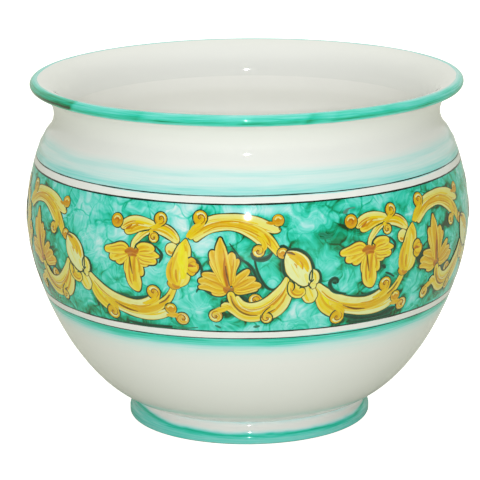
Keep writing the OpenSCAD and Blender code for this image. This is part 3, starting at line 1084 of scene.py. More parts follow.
def curl(u, v, r, start, turn, stem=(), core=GOLD, edge=CREAM):
    """A limb's end that rolls up: a stem, then a spiral from a start angle, to the left for turn 1."""
    radius = r * np.array([0.64, 0.64, 0.64, 0.64, 0.64, 0.62, 0.56, 0.46, 0.34, 0.22, 0.12])
    width = r * np.array([0.34, 0.34, 0.35, 0.36, 0.36, 0.34, 0.30, 0.26, 0.22, 0.18, 0.12])
    roll = round_it(u, v, radius, start + turn * np.arange(0, 451, 45), width)
    band = [*stem, *roll.tolist()]
    stroke("outline", disc(u, v, r), INK, SOFT_INK, grow_by=ROUND_LINE)
    stroke("leaf", disc(u, v, r), OCHRE, AMBER)
    stroke("leaf", band, (AMBER, BROWN), (AMBER, OCHRE), grow_by=BODY_EDGE)
    stroke("leaf", band, (core, AMBER), (core, edge))
    stroke("leaf streak", beside(band, -0.3 * turn, 0.12, 0.62, 0.26), AMBER, core)
    lit = round_it(u, v, 0.66 * r, start + turn * np.linspace(50, 190, 5), 0.15 * r)
    stroke("leaf streak", lit, CREAM)
    inner = r * np.linspace(0.86, 0.1, 9) ** 1.1
    thin = np.array([0.25, 0.4, 0.5, 0.55, 0.55, 0.55, 0.5, 0.45, 0.3])
    roll_in = round_it(u, v, inner, start + turn * np.linspace(330, 700, 9), thin)
    stroke("leaf streak", roll_in, (RUST, BROWN), OCHRE)


def vein(points, core=RUST, edge=OCHRE):
    """A line of orange paint."""
    stroke("vein", points, core, edge)


def ink_line(points):
    """A line of the outline's paint, inside a form."""
    stroke("inner ink", points, INK, SOFT_INK)


print("forms:", ", ".join(each.__name__ for each in (form, leaf, knob, curl, vein, ink_line)))

# %% [markdown]
# The scroll's unit is drawn once, at the front of the pot, and repeated six times round it. It is painted
# from back to front: the small arch and its hanging leaf, the palmette, the lower curls, the long lower
# limb, the long upper arch, and last the calyx and the bud from which the limbs grow. Before them the
# painter brushed dark shadows into the ground. Only a few of these come back in every repeat: the others
# belong to the front alone. The points were read off the photograph, with the wall unrolled into (u, v).

# %% Dark shadows, brushed in before the forms
SHADOW_STROKES = (
    [(-14, 73, 0.4), (-9.5, 67, 0.7), (-5, 61, 0.8), (0, 57.2, 1.4), (4, 52, 1.5), (6.5, 46, 1.2),
     (9.5, 41, 0.6)],
    [(2, 66, 0.8), (4.5, 61.8, 1.8), (10, 60.6, 2.2), (15, 62, 1.9), (19, 66.5, 0.9)],
    [(5, 60, 0.9), (6.5, 53, 1.0), (9.5, 45, 1.3), (14, 38.4, 1.4), (19, 36.4, 1.0), (24, 39.5, 1.3),
     (28, 46, 0.9)],
    [(29.5, 44, 0.9), (26.5, 51, 1.4), (26.3, 58, 1.5), (25, 63, 1.0)],
    [(-9, 32.5, 0.8), (-5, 30.5, 2.2), (-1.5, 27.5, 2.8), (0, 24, 1.6)],
    [(9, 28, 0.9), (14, 29.5, 1.8), (20, 33.5, 1.2), (25.5, 39.5, 0.7)],
    [(-36, 48.5, 0.6), (-35, 52, 1.2), (-38, 59, 1.0), (-43, 61, 0.5)],
    [(-36.5, 50.6, 0.5), (-30, 51.2, 1.1), (-26, 53.6, 0.6)],
    [(30, 67.4, 1.0), (38, 66.8, 1.5), (45.2, 61.8, 1.7), (49.4, 53.5, 1.6), (50.7, 50, 0.8)],
    [(49, 51.4, 0.8), (54, 49, 1.2), (56, 43, 1.0), (55.5, 38.5, 0.7)],
    [(53, 40.4, 1.2), (61, 34.2, 1.9), (70, 28.6, 2.2), (80, 24.8, 2.2), (92, 23.2, 2.4), (103, 24.4, 3.0),
     (109, 27.4, 1.6)],
    [(79, 9, 1.5), (88, 6, 2.8), (100, 3.6, 3.6), (113, 3.6, 3.8), (123, 6.4, 3.4), (129, 8, 1.6)],
    [(84, 3, 0.8), (96, 1.4, 1.6), (112, 1.2, 1.6), (126, 2, 1.2)],
    [(22, 67.5, 0.7), (26, 70.4, 1.2), (31, 67.5, 1.2)],
    [(116, 68.5, 0.6), (121, 63.5, 1.2), (121.4, 60, 1.4), (119, 55, 0.6)],
    [(108, 47.5, 0.6), (110.5, 46, 2.2), (112.5, 44, 0.8)],
    [(112.5, 40.8, 0.5), (117, 38.8, 1.0), (122.5, 35.4, 0.6)],
    [(-40, 33.5, 0.4), (-38.6, 36.5, 1.0), (-34, 36, 0.8), (-29, 32.4, 0.7), (-24, 30.4, 0.4)],
)
REPEATED_SHADOWS = (4, 9, 10, 12, 14)
for i, points in enumerate(SHADOW_STROKES):
    stroke("outline" if i in REPEATED_SHADOWS else "front green", points, SHADE, SHADE_EDGE)
print(len(REPEATED_SHADOWS), "of", len(SHADOW_STROKES), "shadow strokes are repeated")

# %% The small arch and its feathered end
form("limb", [
    ([(135, 72, 2.4), (130, 77, 3.8), (123, 80.5, 4.2), (115, 81.2, 3.4), (108, 78.6, 2.7), (102, 73.6, 2.3),
      (98.5, 69, 2.0), (97.3, 64, 1.8)], PALE, CREAM,
     ((-0.35, 0.03, 0.75, 0.3, GOLD), (0.35, 0.1, 0.85, 0.2, AMBER), (-0.75, 0.1, 0.5, 0.12, OCHRE))),
])
form("limb", [
    ([(112, 82.5, 1.8), (104, 82, 2.9), (98, 80, 3.2), (93, 78, 2.8), (89.5, 77.8, 1.8)], GOLD, PALE,
     ((0.3, 0.1, 0.9, 0.3, AMBER), (-0.4, 0.3, 0.95, 0.2, OCHRE))),
    ([(116, 83.5, 2.0), (107, 85.5, 3.2), (99, 86, 3.4), (92, 84, 3.4), (86, 79.8, 2.8)], PALE, CREAM,
     ((0.2, 0.05, 0.6, 0.24, GOLD), (0.6, 0.3, 0.97, 0.2, AMBER), (0.1, 0.55, 0.95, 0.16, OCHRE))),
])
vein([(96, 83, 0.5), (93, 80.5, 1.0), (90.5, 79, 0.6)])
vein([(102, 84, 0.4), (98, 81.5, 0.9), (95, 79, 0.5)], OCHRE, AMBER)
knob(82, 84.5, 5.0, OCHRE, AMBER)
vein([(79.5, 84.5, 0.6), (82, 86.3, 1.0), (84, 84, 0.7), (82, 82.4, 0.5)], RUST, OCHRE)
curl(119.6, 88.6, 4.9, -80, 1, [(111, 81.6, 0.4), (115.5, 82.2, 1.5), (118.6, 84.2, 1.9)],
     core=GOLD, edge=AMBER)
curl(114.6, 74.6, 3.9, 120, 1, [(111.5, 80, 1.2)], core=GOLD, edge=PALE)
print(len(painting), "strokes so far")

# %% The hanging leaf
leaf([
    [(94, 56, 3), (92.5, 50, 3.2), (92, 46, 2.8), (91, 43.5, 1.6)],
    [(101, 56, 3), (103, 49, 3.2), (104.2, 43.5, 2.4)],
    [(93, 59, 2.2), (89, 57.5, 3.4), (85, 54, 3.4), (82, 52.2, 2.0)],
    [(92.6, 60, 2.4), (87, 59.5, 3.6), (80, 56.5, 3.6), (76.2, 54.5, 2.2)],
    [(93.6, 62, 2.6), (88, 63.6, 4.4), (80, 62, 3.6), (71.5, 61, 2.3)],
    [(100, 58.5, 2.2), (103, 55.5, 3.4), (107, 54, 3.0), (110.5, 53.2, 1.8)],
    [(100.4, 60, 2.4), (106, 57.6, 3.8), (112, 57, 3.6), (117, 55.6, 2.0)],
    [(100.6, 61, 2.6), (107, 61.5, 4.2), (113, 61.2, 3.6), (119.5, 60.3, 0.9)],
    [(100.4, 62, 2.6), (105, 65, 4.2), (111, 65.7, 3.8), (115.5, 66, 2.2)],
    [(97, 59, 4), (96.6, 50, 5.6), (97, 42, 6.2), (98.5, 36, 5.6), (100.5, 30.8, 2.4)],
], GOLD)
vein([(94.2, 59, 0.7), (95, 52, 0.9), (96.6, 44, 0.4)], BROWN, OCHRE)
vein([(99.3, 60, 0.9), (98.2, 50, 1.3), (97.2, 38, 0.6)], OCHRE, AMBER)
vein([(102, 58, 0.6), (103, 52, 0.9), (102.5, 46, 0.4)], OCHRE, AMBER)
vein([(90, 61, 1.2), (95, 62, 3.0), (100, 61.6, 2.2), (102.5, 64.5, 0.8)], RUST, OCHRE)
vein([(93, 58, 0.9), (97, 59.5, 1.6), (101, 58.5, 0.8)], RUST, OCHRE)
ink_line([(101.5, 64, 0.4), (100, 66, 0.7), (99, 64.5, 0.4)])
print(len(painting), "strokes so far")

# %% The palmette
leaf([
    [(-16.5, 36, 1.6), (-20, 34.6, 2.8), (-25, 34.2, 2.6), (-28, 35.3, 1.6)],
    [(-11, 36, 1.6), (-7, 35.5, 2.6), (0, 36.7, 2.6), (7, 37.4, 1.5)],
    [(-17, 37, 1.8), (-22, 37, 3.8), (-30, 39, 3.5), (-38, 38.2, 1.4)],
    [(-11, 37, 1.8), (-5, 38.4, 3.8), (3, 40.2, 3.4), (9.5, 40, 1.9)],
    [(-17, 38, 2.0), (-23, 41, 4.0), (-31, 43.6, 3.4), (-38, 43, 1.9)],
    [(-11, 38, 1.8), (-5, 41.6, 3.4), (1, 44.6, 3.0), (5.4, 45.9, 1.5)],
    [(-17.5, 40, 2.2), (-22, 44.6, 3.7), (-29, 47.6, 2.9), (-35, 48.6, 1.7)],
    [(-11.4, 39.5, 1.8), (-8, 44.5, 2.9), (-2.6, 49.6, 2.6), (0.8, 52.6, 1.5)],
    [(-18.4, 42, 2.4), (-22, 51, 3.4), (-26, 57, 2.8), (-28.6, 59.6, 1.5)],
    [(-12.4, 42, 2.2), (-11.6, 52, 2.4), (-9, 57.6, 2.2), (-7.3, 61, 1.2)],
    [(-17, 43, 2.6), (-21.5, 54, 4.0), (-25.5, 62, 3.6), (-27.6, 67.2, 2.2)],
    [(-14.5, 43, 2.6), (-13, 54, 3.4), (-12.4, 62, 3.1), (-12, 66, 1.8)],
    [(-15.5, 39, 3), (-18, 52, 4.8), (-20, 62, 5.0), (-20.8, 70, 3.5), (-21, 77, 0.7)],
], AMBER)
vein([(-15.5, 38, 1.1), (-17.5, 48, 1.3), (-18, 56, 0.9), (-17.6, 62, 0.4)], RUST, OCHRE)
vein([(-14.2, 40, 0.6), (-16.2, 49, 0.8), (-17, 56, 0.4)], BROWN, RUST)
vein([(-17, 38, 1.0), (-23, 41.5, 1.0), (-30, 44.5, 0.4)], OCHRE, AMBER)
vein([(-12, 38, 1.0), (-6, 42, 0.9), (0, 45.5, 0.4)], OCHRE, AMBER)
vein([(-13, 40, 0.8), (-12.6, 49, 0.8), (-12, 56, 0.4)], OCHRE, AMBER)
vein([(-19, 38.5, 1.6), (-15.5, 36.2, 3.2), (-11.5, 35.8, 2.4)], RUST, OCHRE)
vein([(-14, 33, 0.8), (-14.5, 36, 1.4), (-11, 38, 0.8)], UMBER, RUST)
print(len(painting), "strokes so far")

# %% The lower curls under the palmette
curl(5.2, 28.2, 4.7, 20, 1, [(11, 22, 1.4), (11, 26, 1.5)], core=AMBER, edge=GOLD)
form("limb", [
    ([(12, 14, 2.4), (19, 16.5, 4.0), (25, 22.5, 4.6), (29, 30.5, 4.0), (31, 39, 1.5)], PALE, CREAM,
     ((0.3, 0.1, 0.85, 0.26, AMBER), (0.75, 0.2, 0.8, 0.14, OCHRE))),
    ([(-21, 22.6, 2.4), (-16.5, 23, 3.0), (-11, 19.5, 3.2), (-6, 15.5, 3.3), (0, 13, 3.1), (7, 13, 2.8),
      (12, 15, 2.2)], GOLD, CREAM,
     ((0.35, 0.1, 0.9, 0.22, AMBER),)),
    ([(-14, 35, 2.2), (-12, 28, 3.1), (-7, 21.5, 3.9), (0, 18, 4.1), (8, 18.4, 4.1), (15, 22, 4.6),
      (22, 28.5, 4.6), (27.5, 36.5, 3.2), (30, 45, 1.0)], GOLD, PALE,
     ((-0.35, 0.02, 0.55, 0.26, AMBER), (-0.15, 0.5, 0.9, 0.22, OCHRE), (0.35, 0.25, 0.8, 0.14, CREAM),
      (0.1, 0.05, 0.4, 0.14, OCHRE))),
    ([(-9, 31.5, 1.3), (-5, 25.2, 2.5), (1, 22.6, 2.9), (8, 23.5, 3.1), (15, 27, 3.2), (21, 32.5, 3.0),
      (26, 39, 2.2), (29, 46, 0.9)], PALE, CREAM,
     ((-0.35, 0.02, 0.7, 0.2, GOLD), (-0.8, 0.15, 0.8, 0.12, OCHRE))),
])
vein([(-13.6, 32, 0.3), (-11.8, 25.4, 0.7), (-6.8, 19, 0.8), (0, 15.6, 0.7), (7, 15, 0.3)], BROWN, OCHRE)
vein([(21, 20.5, 0.4), (26, 26, 1.0), (29, 33, 0.4)], OCHRE, AMBER)
vein([(11, 16.4, 0.3), (16, 17.6, 0.7), (21, 20.5, 0.3)], BROWN, OCHRE)
curl(14, 12.7, 4.3, 165, 1, [(19, 23.5, 0.4), (15, 20, 1.1), (11.9, 16.6, 1.6)], core=GOLD, edge=PALE)
ink_line([(17, 22.5, 0.25), (13, 19.2, 0.45), (10.6, 15.5, 0.45), (10.2, 12.5, 0.25)])
curl(-25.8, 14.6, 5.2, 95, 1, [(-14, 21.4, 0.5), (-20, 20.4, 2.0), (-23.5, 19.2, 2.0)],
     core=GOLD, edge=CREAM)
ink_line([(-21.5, 22, 0.3), (-21.5, 24.6, 0.4), (-19, 26, 0.3)])
print(len(painting), "strokes so far")

# %% The long lower limb
form("limb", [
    ([(54, 37, 3.0), (57, 28, 4.8), (61, 21.5, 6.2), (67, 16.5, 6.2), (73, 12, 5.0)], GOLD, PALE,
     ((0.4, 0.02, 0.75, 0.34, LEMON), (0.0, 0.15, 0.9, 0.16, AMBER), (-0.6, 0.25, 0.9, 0.14, GOLD))),
    ([(74, 15, 2.2), (85, 12.7, 2.9), (95, 11, 3.3), (106, 10.4, 3.3), (116, 12, 3.3), (123, 15, 3.0),
      (128, 18.5, 2.4)], CREAM, CREAM,
     ((0.3, 0.1, 0.9, 0.2, GOLD), (0.7, 0.2, 0.75, 0.1, AMBER))),
    ([(64, 24.5, 3.4), (77, 18.5, 4.2), (90, 16, 4.6), (102, 15.8, 4.6), (112, 18, 4.2), (120, 22.5, 3.4),
      (126, 28.5, 2.7), (131, 37, 2.2)], GOLD, PALE,
     ((-0.45, 0.1, 0.85, 0.26, AMBER), (0.2, 0.08, 0.6, 0.16, OCHRE), (0.1, 0.35, 0.98, 0.24, AMBER),
      (0.5, 0.15, 0.5, 0.1, PALE))),
    ([(53, 38.5, 1.8), (61, 31, 3.0), (68, 26.5, 3.2), (78, 22.6, 3.2), (90, 20.2, 3.0), (100, 20.6, 2.8),
      (109, 23.6, 3.0), (116, 28.5, 2.6)], (PALE, CREAM), CREAM,
     ((-0.75, 0.1, 0.95, 0.16, GOLD), (-0.95, 0.35, 0.95, 0.1, AMBER))),
])
vein([(76, 18.6, 0.3), (82, 15.8, 0.8), (89, 13.6, 0.9), (97, 12.8, 0.4)], BROWN, OCHRE)
vein([(57, 33, 0.3), (63, 27, 0.7), (72, 21.8, 0.4)], OCHRE, AMBER)
vein([(92, 18.4, 0.3), (102, 18.2, 0.7), (110, 20.4, 0.4)], OCHRE, AMBER)
curl(113.4, 31.2, 5.5, -35, 1, [(103, 21, 0.5), (110, 23, 1.8), (115, 26, 2.1)], core=GOLD, edge=AMBER)
vein([(117, 22, 0.5), (122.5, 25.5, 0.8), (126.5, 30.5, 0.6)], BROWN, OCHRE)
knob(126.3, 18.6, 4.3, OCHRE, GOLD)
ink_line([(122.5, 20.5, 0.3), (124.5, 23, 0.4), (128, 23, 0.3)])
curl(72.3, 8.8, 5.8, 30, -1, [(66, 20, 0.6), (71.5, 17, 2.2), (75.6, 13.6, 2.4)], core=GOLD, edge=AMBER)
curl(135, 10.3, 5.2, 150, -1, [(122, 12.5, 0.5), (126.5, 13, 1.8), (130.2, 13.2, 2.0)],
     core=AMBER, edge=CREAM)
print(len(painting), "strokes so far")

# %% The long upper arch
form("limb", [
    ([(-41, 74.5, 1.8), (-34, 80.2, 2.4), (-26, 83.9, 2.4), (-15, 85.3, 2.3), (-6, 84, 2.6), (2, 80.2, 3.0),
      (8, 75.8, 3.0), (12.5, 71, 2.4)], PALE, CREAM,
     ((0.4, 0.1, 0.9, 0.24, GOLD), (-0.2, 0.5, 0.95, 0.2, AMBER))),
    ([(-40, 79, 2.0), (-33, 86, 3.8), (-25, 90, 3.8), (-14, 91.2, 3.5), (-3, 91, 3.4), (7, 88.8, 3.6),
      (15, 85.2, 3.6), (21.5, 82.8, 2.6), (24.8, 82.3, 1.0)], PALE, CREAM,
     ((-0.3, 0.1, 0.75, 0.26, GOLD), (-0.75, 0.4, 0.92, 0.14, AMBER))),
    ([(-45, 76, 1.8), (-37, 82, 3.2), (-28, 86.3, 3.5), (-18, 87.8, 3.3), (-8, 87, 3.4), (1, 84.6, 3.6),
      (9, 80.6, 3.8), (15, 75.6, 3.8), (20, 69.5, 3.2), (24, 63, 1.9)], GOLD, PALE,
     ((-0.1, 0.05, 0.7, 0.28, AMBER), (-0.6, 0.4, 0.9, 0.14, OCHRE), (0.5, 0.5, 0.97, 0.16, AMBER),
      (0.45, 0.1, 0.5, 0.12, CREAM))),
])
vein([(-39, 80.4, 0.3), (-31, 85.8, 0.6), (-20, 88.9, 0.7), (-8, 89.3, 0.5), (4, 86.8, 0.3)], OCHRE, AMBER)
vein([(-34, 80.4, 0.3), (-24, 85.2, 0.6), (-12, 85.6, 0.5), (-2, 83.2, 0.3)], OCHRE, AMBER)
curl(8, 67, 4.5, 15, -1, [(7, 78, 0.5), (11, 75, 1.6), (12.6, 70.6, 1.9)], core=GOLD, edge=PALE)
vein([(12.5, 80, 0.5), (16, 75, 0.8), (17.2, 70.5, 0.5)], OCHRE, AMBER)
curl(-36.8, 91.4, 5.4, -50, 1, [(-46.8, 76.5, 1.2), (-42, 82.6, 2.1), (-36, 86.4, 2.3)],
     core=GOLD, edge=AMBER)
knob(23.4, 89.6, 4.2, OCHRE, AMBER)
vein([(14, 88.3, 0.6), (18, 87.6, 1.3), (21.5, 87.8, 1.0)], OCHRE, AMBER)
ink_line([(25.3, 85.5, 0.3), (23.3, 84.6, 0.4), (24.8, 82.2, 0.3)])
knob(26.2, 64.8, 3.9, OCHRE, AMBER)
vein([(26.5, 62.5, 0.6), (29, 64, 1.3), (30.2, 66, 0.6)], BROWN, RUST)
print(len(painting), "strokes so far")

# %% The calyx, its curls and the bulb below it
form("limb", [
    ([(44, 39, 3.4), (46.5, 32.5, 5.8), (49, 27, 5.2), (50.5, 24.5, 3.6)], PALE, CREAM,
     ((-0.55, 0.1, 0.9, 0.2, GOLD), (0.3, 0.2, 0.8, 0.12, GOLD))),
])
form("limb", [
    ([(48, 40, 1.8), (50, 38.4, 3.0), (52, 38.6, 1.8)], PALE, CREAM, ()),
    ([(47.8, 50.4, 1.6), (50.6, 47, 3.0), (51.2, 42.5, 3.0), (50, 39.6, 2.0)], PALE, CREAM,
     ((0.1, 0.2, 0.8, 0.2, GOLD),)),
])
form("limb", [
    ([(33.6, 43.5, 1.8), (33.6, 38.5, 3.4), (35.8, 34.4, 4.8), (39.8, 33, 4.0), (42.5, 36, 2.2)], GOLD, PALE,
     ((0.1, 0.05, 0.8, 0.26, AMBER), (-0.5, 0.3, 0.9, 0.16, OCHRE))),
])
ink_line([(31.6, 42.6, 0.3), (34.4, 41.4, 0.55), (35.2, 37.6, 0.55), (33.6, 34.6, 0.3)])
form("limb", [
    ([(30, 66, 1.8), (32.6, 62, 6.2), (36.8, 55.4, 9.4), (40, 49, 8.6), (42.6, 43.2, 5.8),
      (44.2, 38.5, 3.8)], CREAM, CREAM,
     ((-0.4, 0.3, 0.75, 0.05, PALE), (0.62, 0.05, 0.7, 0.2, GOLD), (0.2, 0.15, 0.55, 0.09, GOLD),
      (0.35, 0.7, 0.97, 0.2, PALE))),
], HEAVY)
stroke("limb streak", [(29.6, 64.4, 1.2), (34, 63.2, 2.4), (39.5, 60.2, 2.6), (44, 55.8, 1.6),
                       (46, 51, 0.7)], AMBER, GOLD)
stroke("limb streak", [(31, 62, 0.6), (35, 59.5, 1.3), (38, 55, 0.7)], AMBER, GOLD)
vein([(39, 58.6, 0.5), (41, 55.5, 0.9), (41.2, 51.5, 0.4)], OCHRE, AMBER)
vein([(34.6, 56.6, 0.3), (36.2, 55, 0.6), (36.8, 52.8, 0.3)], OCHRE, AMBER)
vein([(28.6, 65.4, 0.7), (32.2, 64.8, 1.0), (35.6, 63.2, 0.5)], BROWN, RUST)
ink_line([(48.2, 50.6, 0.4), (46.8, 47, 0.6), (46.8, 43, 0.6), (48.6, 41.4, 0.5), (50.2, 43, 0.3)])
ink_line([(46, 41, 0.3), (46.4, 38, 0.5), (48.6, 36.2, 0.4)])
print(len(painting), "strokes so far")

# %% The bud
knob(-58.6, 66.6, 4.8, PALE, CREAM)
form("limb", [
    ([(-62, 41, 1.6), (-58, 38, 2.4), (-52.5, 38.6, 1.8)], AMBER, OCHRE, ()),
    ([(-47.5, 75, 1.0), (-48.5, 69, 4.8), (-50.5, 61, 6.6), (-52.5, 52, 8.4), (-53.5, 44, 7.9),
      (-55, 37.5, 4.0)], GOLD, PALE,
     ((0.1, 0.1, 0.85, 0.12, PALE), (0.45, 0.35, 0.95, 0.14, PALE), (-0.7, 0.3, 0.85, 0.14, AMBER))),
])
stroke("limb streak", [(-57.5, 61, 1.0), (-60.2, 52.5, 2.6), (-60, 44.5, 3.0), (-56.5, 38.6, 1.8)],
       AMBER, GOLD)
vein([(-58.4, 57, 0.5), (-60, 50, 0.9), (-59.4, 43.5, 0.5)], OCHRE, AMBER)
vein([(-55.2, 51.5, 0.7), (-55.4, 46, 1.1), (-54.6, 41, 0.6)], OCHRE, AMBER)
vein([(-50, 72, 0.5), (-47.4, 67.5, 1.6), (-46.6, 62, 0.8)], AMBER, GOLD)
form("leaf", [
    ([(-47, 54.6, 2.6), (-42.6, 57.6, 3.6), (-39.6, 58.6, 2.4)], AMBER, GOLD, ()),
    ([(-46.5, 53, 2.4), (-42.4, 50.6, 3.4), (-40, 50, 2.4)], AMBER, GOLD, ()),
    ([(-46, 54, 2.6), (-41, 54, 4.2), (-37.4, 54.4, 2.8)], GOLD, AMBER, ((0.2, 0.1, 0.8, 0.2, OCHRE),)),
], HEAVY, RUST)
vein([(-46.6, 54.2, 0.8), (-44, 55.4, 1.4), (-41.6, 54.4, 0.7)], RUST, OCHRE)
vein([(-40, 56.8, 0.4), (-37.8, 55.6, 0.8), (-38.2, 52.8, 0.4)], OCHRE, AMBER)
vein([(-59, 39.6, 0.7), (-56, 37.4, 1.1), (-52.8, 38, 0.6)], OCHRE, RUST)
print(len(painting), "strokes in one unit of the scroll")

# %% [markdown]
# A hand-painted repeat is never quite like its neighbour. At the front a lemon touch brightens the bud, and
# some short green strokes lie in the ground. They are kept apart, so that the brush draws them only once.

# %% Touches that only the front has
for points, core, edge in (
    ([(-50, 73, 0.8), (-50.6, 66, 2.6), (-51, 59, 3.2), (-49.5, 51, 2.8), (-50, 44, 1.8)], LEMON, "E9D424"),
    ([(-47.4, 66, 0.8), (-47, 58, 1.6), (-47.6, 49, 1.2)], "EAD93A", LEMON),
):
    stroke("front yellow", points, core, edge)
for points, core, edge in (
    ([(69.6, 37.6, 0.8), (69.8, 40.4, 1.5), (66.8, 42, 1.7), (63.6, 39.6, 1.7), (64.2, 35, 1.8),
      (67.4, 31.4, 1.6), (72.5, 29.2, 1.1), (78, 28.4, 0.5)], SHADE, SHADE_EDGE),
    ([(65.4, 38.6, 0.8), (67.4, 38.8, 1.6), (68.8, 37.2, 0.8)], SHADE, SHADE_EDGE),
    ([(54, 77, 0.5), (57.5, 77.5, 1.6), (62, 75.5, 1.1), (66, 77, 0.4)], "1F7A58", "1FA07C"),
    ([(55, 74.5, 0.4), (60, 74, 0.9), (66, 74.6, 0.4)], "1F7A58", "1FA07C"),
    ([(76, 91.5, 0.8), (78.5, 92.3, 1.8), (81, 94.2, 0.7), (87, 94.6, 0.4)], "4F7F70", "57A893"),
    ([(-27, 5.6, 0.4), (-24.5, 4.6, 1.1), (-22, 3.4, 0.5)], "24704F", "2F9C7C"),
    ([(3.6, 4.6, 0.5), (6.2, 4.8, 1.5), (9, 5.4, 0.5)], "2C6A4C", "3FA68C"),
    ([(-45, 82, 0.4), (-43.5, 86.5, 1.2), (-42.6, 90, 0.5)], "2E9472", "49B89E"),
    ([(-60, 2, 0.4), (-52, 1.6, 0.8), (-41, 3, 0.4)], "24704F", "2FA27E"),
):
    stroke("front green", points, core, edge)
print(len(painting), "strokes with the front's touches")

# %% [markdown]
# The wet ground gathered against the outlines: it is darker for two or three millimetres beside them, more
# in some places than in others, and least on the left of the front, where the ground is thinnest. With that,
# the ground's density is complete and goes onto the wall's points as `pigment`. `outer` says which points
# are on the outside, because no paint goes inside.

# %% Smudges beside the outlines, and the ground's density on the wall
SMUDGE_MM = 2.2
SMUDGE = 0.34
PAST_BAND_MM = 3.0
FAR_MM = 99.0
THIN_AT, THIN_WIDE, THIN = -105.0, 60.0, 0.6
LIGHTEST, DARKEST = 0.05, 1.0
EVEN, UNEVEN, UNEVEN_U, UNEVEN_V, UNEVEN_LEAN = 0.55, 0.45, 7.3, 6.1, 19.0
in_band_rows = is_outer & (wall_v > -PAST_BAND_MM) & (wall_v < BAND_V + PAST_BAND_MM)
band_u = wall_u[in_band_rows]
unit_u = (band_u + PITCH / 2) % PITCH - PITCH / 2
unit_v = wall_v[in_band_rows]
clear = np.full(len(unit_u), FAR_MM)
for mark in painting:
    if mark["kind"] == "outline":
        for shift in (-PITCH, 0.0, PITCH):
            for u, v, r in mark["path"][::2]:
                clear = np.minimum(clear, np.hypot(unit_u - u - shift, unit_v - v) - r)
wave = np.sin(band_u / UNEVEN_U) * np.sin(unit_v / UNEVEN_V + band_u / UNEVEN_LEAN)
wet = 1 - THIN * np.exp(-((band_u - THIN_AT) / THIN_WIDE) ** 2)
close = np.exp(-(np.maximum(clear, 0) / SMUDGE_MM) ** 2)
pigment[in_band_rows] += SMUDGE * wet * (EVEN + UNEVEN * wave) * close
store(wall.data, "pigment", np.clip(pigment, LIGHTEST, DARKEST))
store(wall.data, "outer", is_outer)
print("ground density from", round(float(pigment.min()), 2), "to", round(float(pigment.max()), 2))

# %% [markdown]
# A later stroke lies on top of an earlier one. Each stroke lies just high enough to clear every stroke that
# it touches, its neighbours' copies included: by nine thousandths of a millimetre, and by less between
# outlines. A step is finer than real paint, so no edge looks like relief, and no two faces share one place.

# %% Heights, from the order of painting
BASE_HEIGHT = 0.05
STEP = 0.009
INK_ON_INK = 0.003
SAFE_MM = 0.6


def touches(a, b):
    """Whether two strokes overlap, counting the scroll's copies to the left and right."""
    for shift in (-PITCH, 0.0, PITCH):
        gap_u = a["path"][:, None, 0] - b["path"][None, :, 0] - shift
        gap_v = a["path"][:, None, 1] - b["path"][None, :, 1]
        near = a["path"][:, None, 2] + b["path"][None, :, 2] + SAFE_MM
        if (gap_u ** 2 + gap_v ** 2 < near ** 2).any():
            return True
    return False


for i, mark in enumerate(painting):
    below = [BASE_HEIGHT]
    for earlier in painting[:i]:
        if touches(mark, earlier):
            inks = mark["kind"] == "outline" and earlier["kind"] == "outline"
            below.append(earlier["height"] + (INK_ON_INK if inks else STEP))
    mark["height"] = max(below)
print("highest stroke:", round(max(mark["height"] for mark in painting), 2), "mm above the wall")

# %% [markdown]
# The brush is a node tree too. It takes the strokes as lines in (u, v), copies them round the pot, gives
# them width with Curve to Mesh, and then bends the flat drawing onto the wall: `u` becomes the angle, and
# `v` the distance along the wall's own profile, waves included. The copies wander by half a millimetre,
# because the painter drew each by eye. Each ribbon is closed, and its underside is sunk in the glaze.
# `known` holds the values that the tree looks up: some come with the strokes' points, and two, `across` and
# `top`, with the ribbon's section.

# %% The brush: inputs, copies and hand-drawn wander
WANDER, WANDER_MM = 1.6, 30.0
brush = bpy.data.node_groups.new("brush_strokes_round_the_band", "GeometryNodeTree")
BRUSH_INPUTS = {
    "Strokes": named_input(brush, "Strokes", "NodeSocketGeometry", None),
    "Wall line": named_input(brush, "Wall line", "NodeSocketObject", None),
    "Copies": named_input(brush, "Copies", "NodeSocketInt", REPEATS),
    "Points across": named_input(brush, "Points across", "NodeSocketInt", 7),
    "Wander": named_input(brush, "Wander", "NodeSocketFloat", WANDER),
    "Paint": named_input(brush, "Paint", "NodeSocketMaterial", None),
}
brush.interface.new_socket("Painted", in_out="OUTPUT", socket_type="NodeSocketGeometry")
known = {name: add(brush, NAMED, {"Name": name}, data_type=kind) for name, kind in (
    ("half_width", "FLOAT"), ("height", "FLOAT"), ("along", "FLOAT"), ("number", "FLOAT"),
    ("across", "FLOAT"), ("top", "FLOAT"), ("core", "FLOAT_COLOR"), ("edge", "FLOAT_COLOR"))}

given = add(brush, "NodeGroupInput")
lines = add(brush, "GeometryNodeMeshToCurve", {"Mesh": given.outputs["Strokes"]})
copies = add(brush, "GeometryNodeDuplicateElements", {
    "Geometry": lines, "Amount": given.outputs["Copies"]}, domain="SPLINE")
copy_number = copies.outputs["Duplicate Index"]
shift_u = add(brush, MATH, {0: copy_number, 1: PITCH}, operation="MULTIPLY")
shift = add(brush, COMBINE, {0: shift_u})
drawn = add(brush, "GeometryNodeInputPosition")
moved = add(brush, VECTOR, {0: drawn, 1: shift}, operation="ADD")
hand_place = add(brush, VECTOR, {0: moved, "Scale": 1 / WANDER_MM}, operation="SCALE")
hand = add(brush, NOISE, {"Vector": hand_place, "Scale": 1.0, "Detail": 1.0}).outputs["Color"]
hand = add(brush, VECTOR, {0: hand, 1: (0.5, 0.5, 0.5)}, operation="SUBTRACT")
later_copy = add(brush, MATH, {0: copy_number, 1: 1.0}, operation="MINIMUM")
wander = add(brush, MATH, {0: given.outputs["Wander"], 1: later_copy}, operation="MULTIPLY")
hand = add(brush, VECTOR, {0: hand, "Scale": wander}, operation="SCALE")
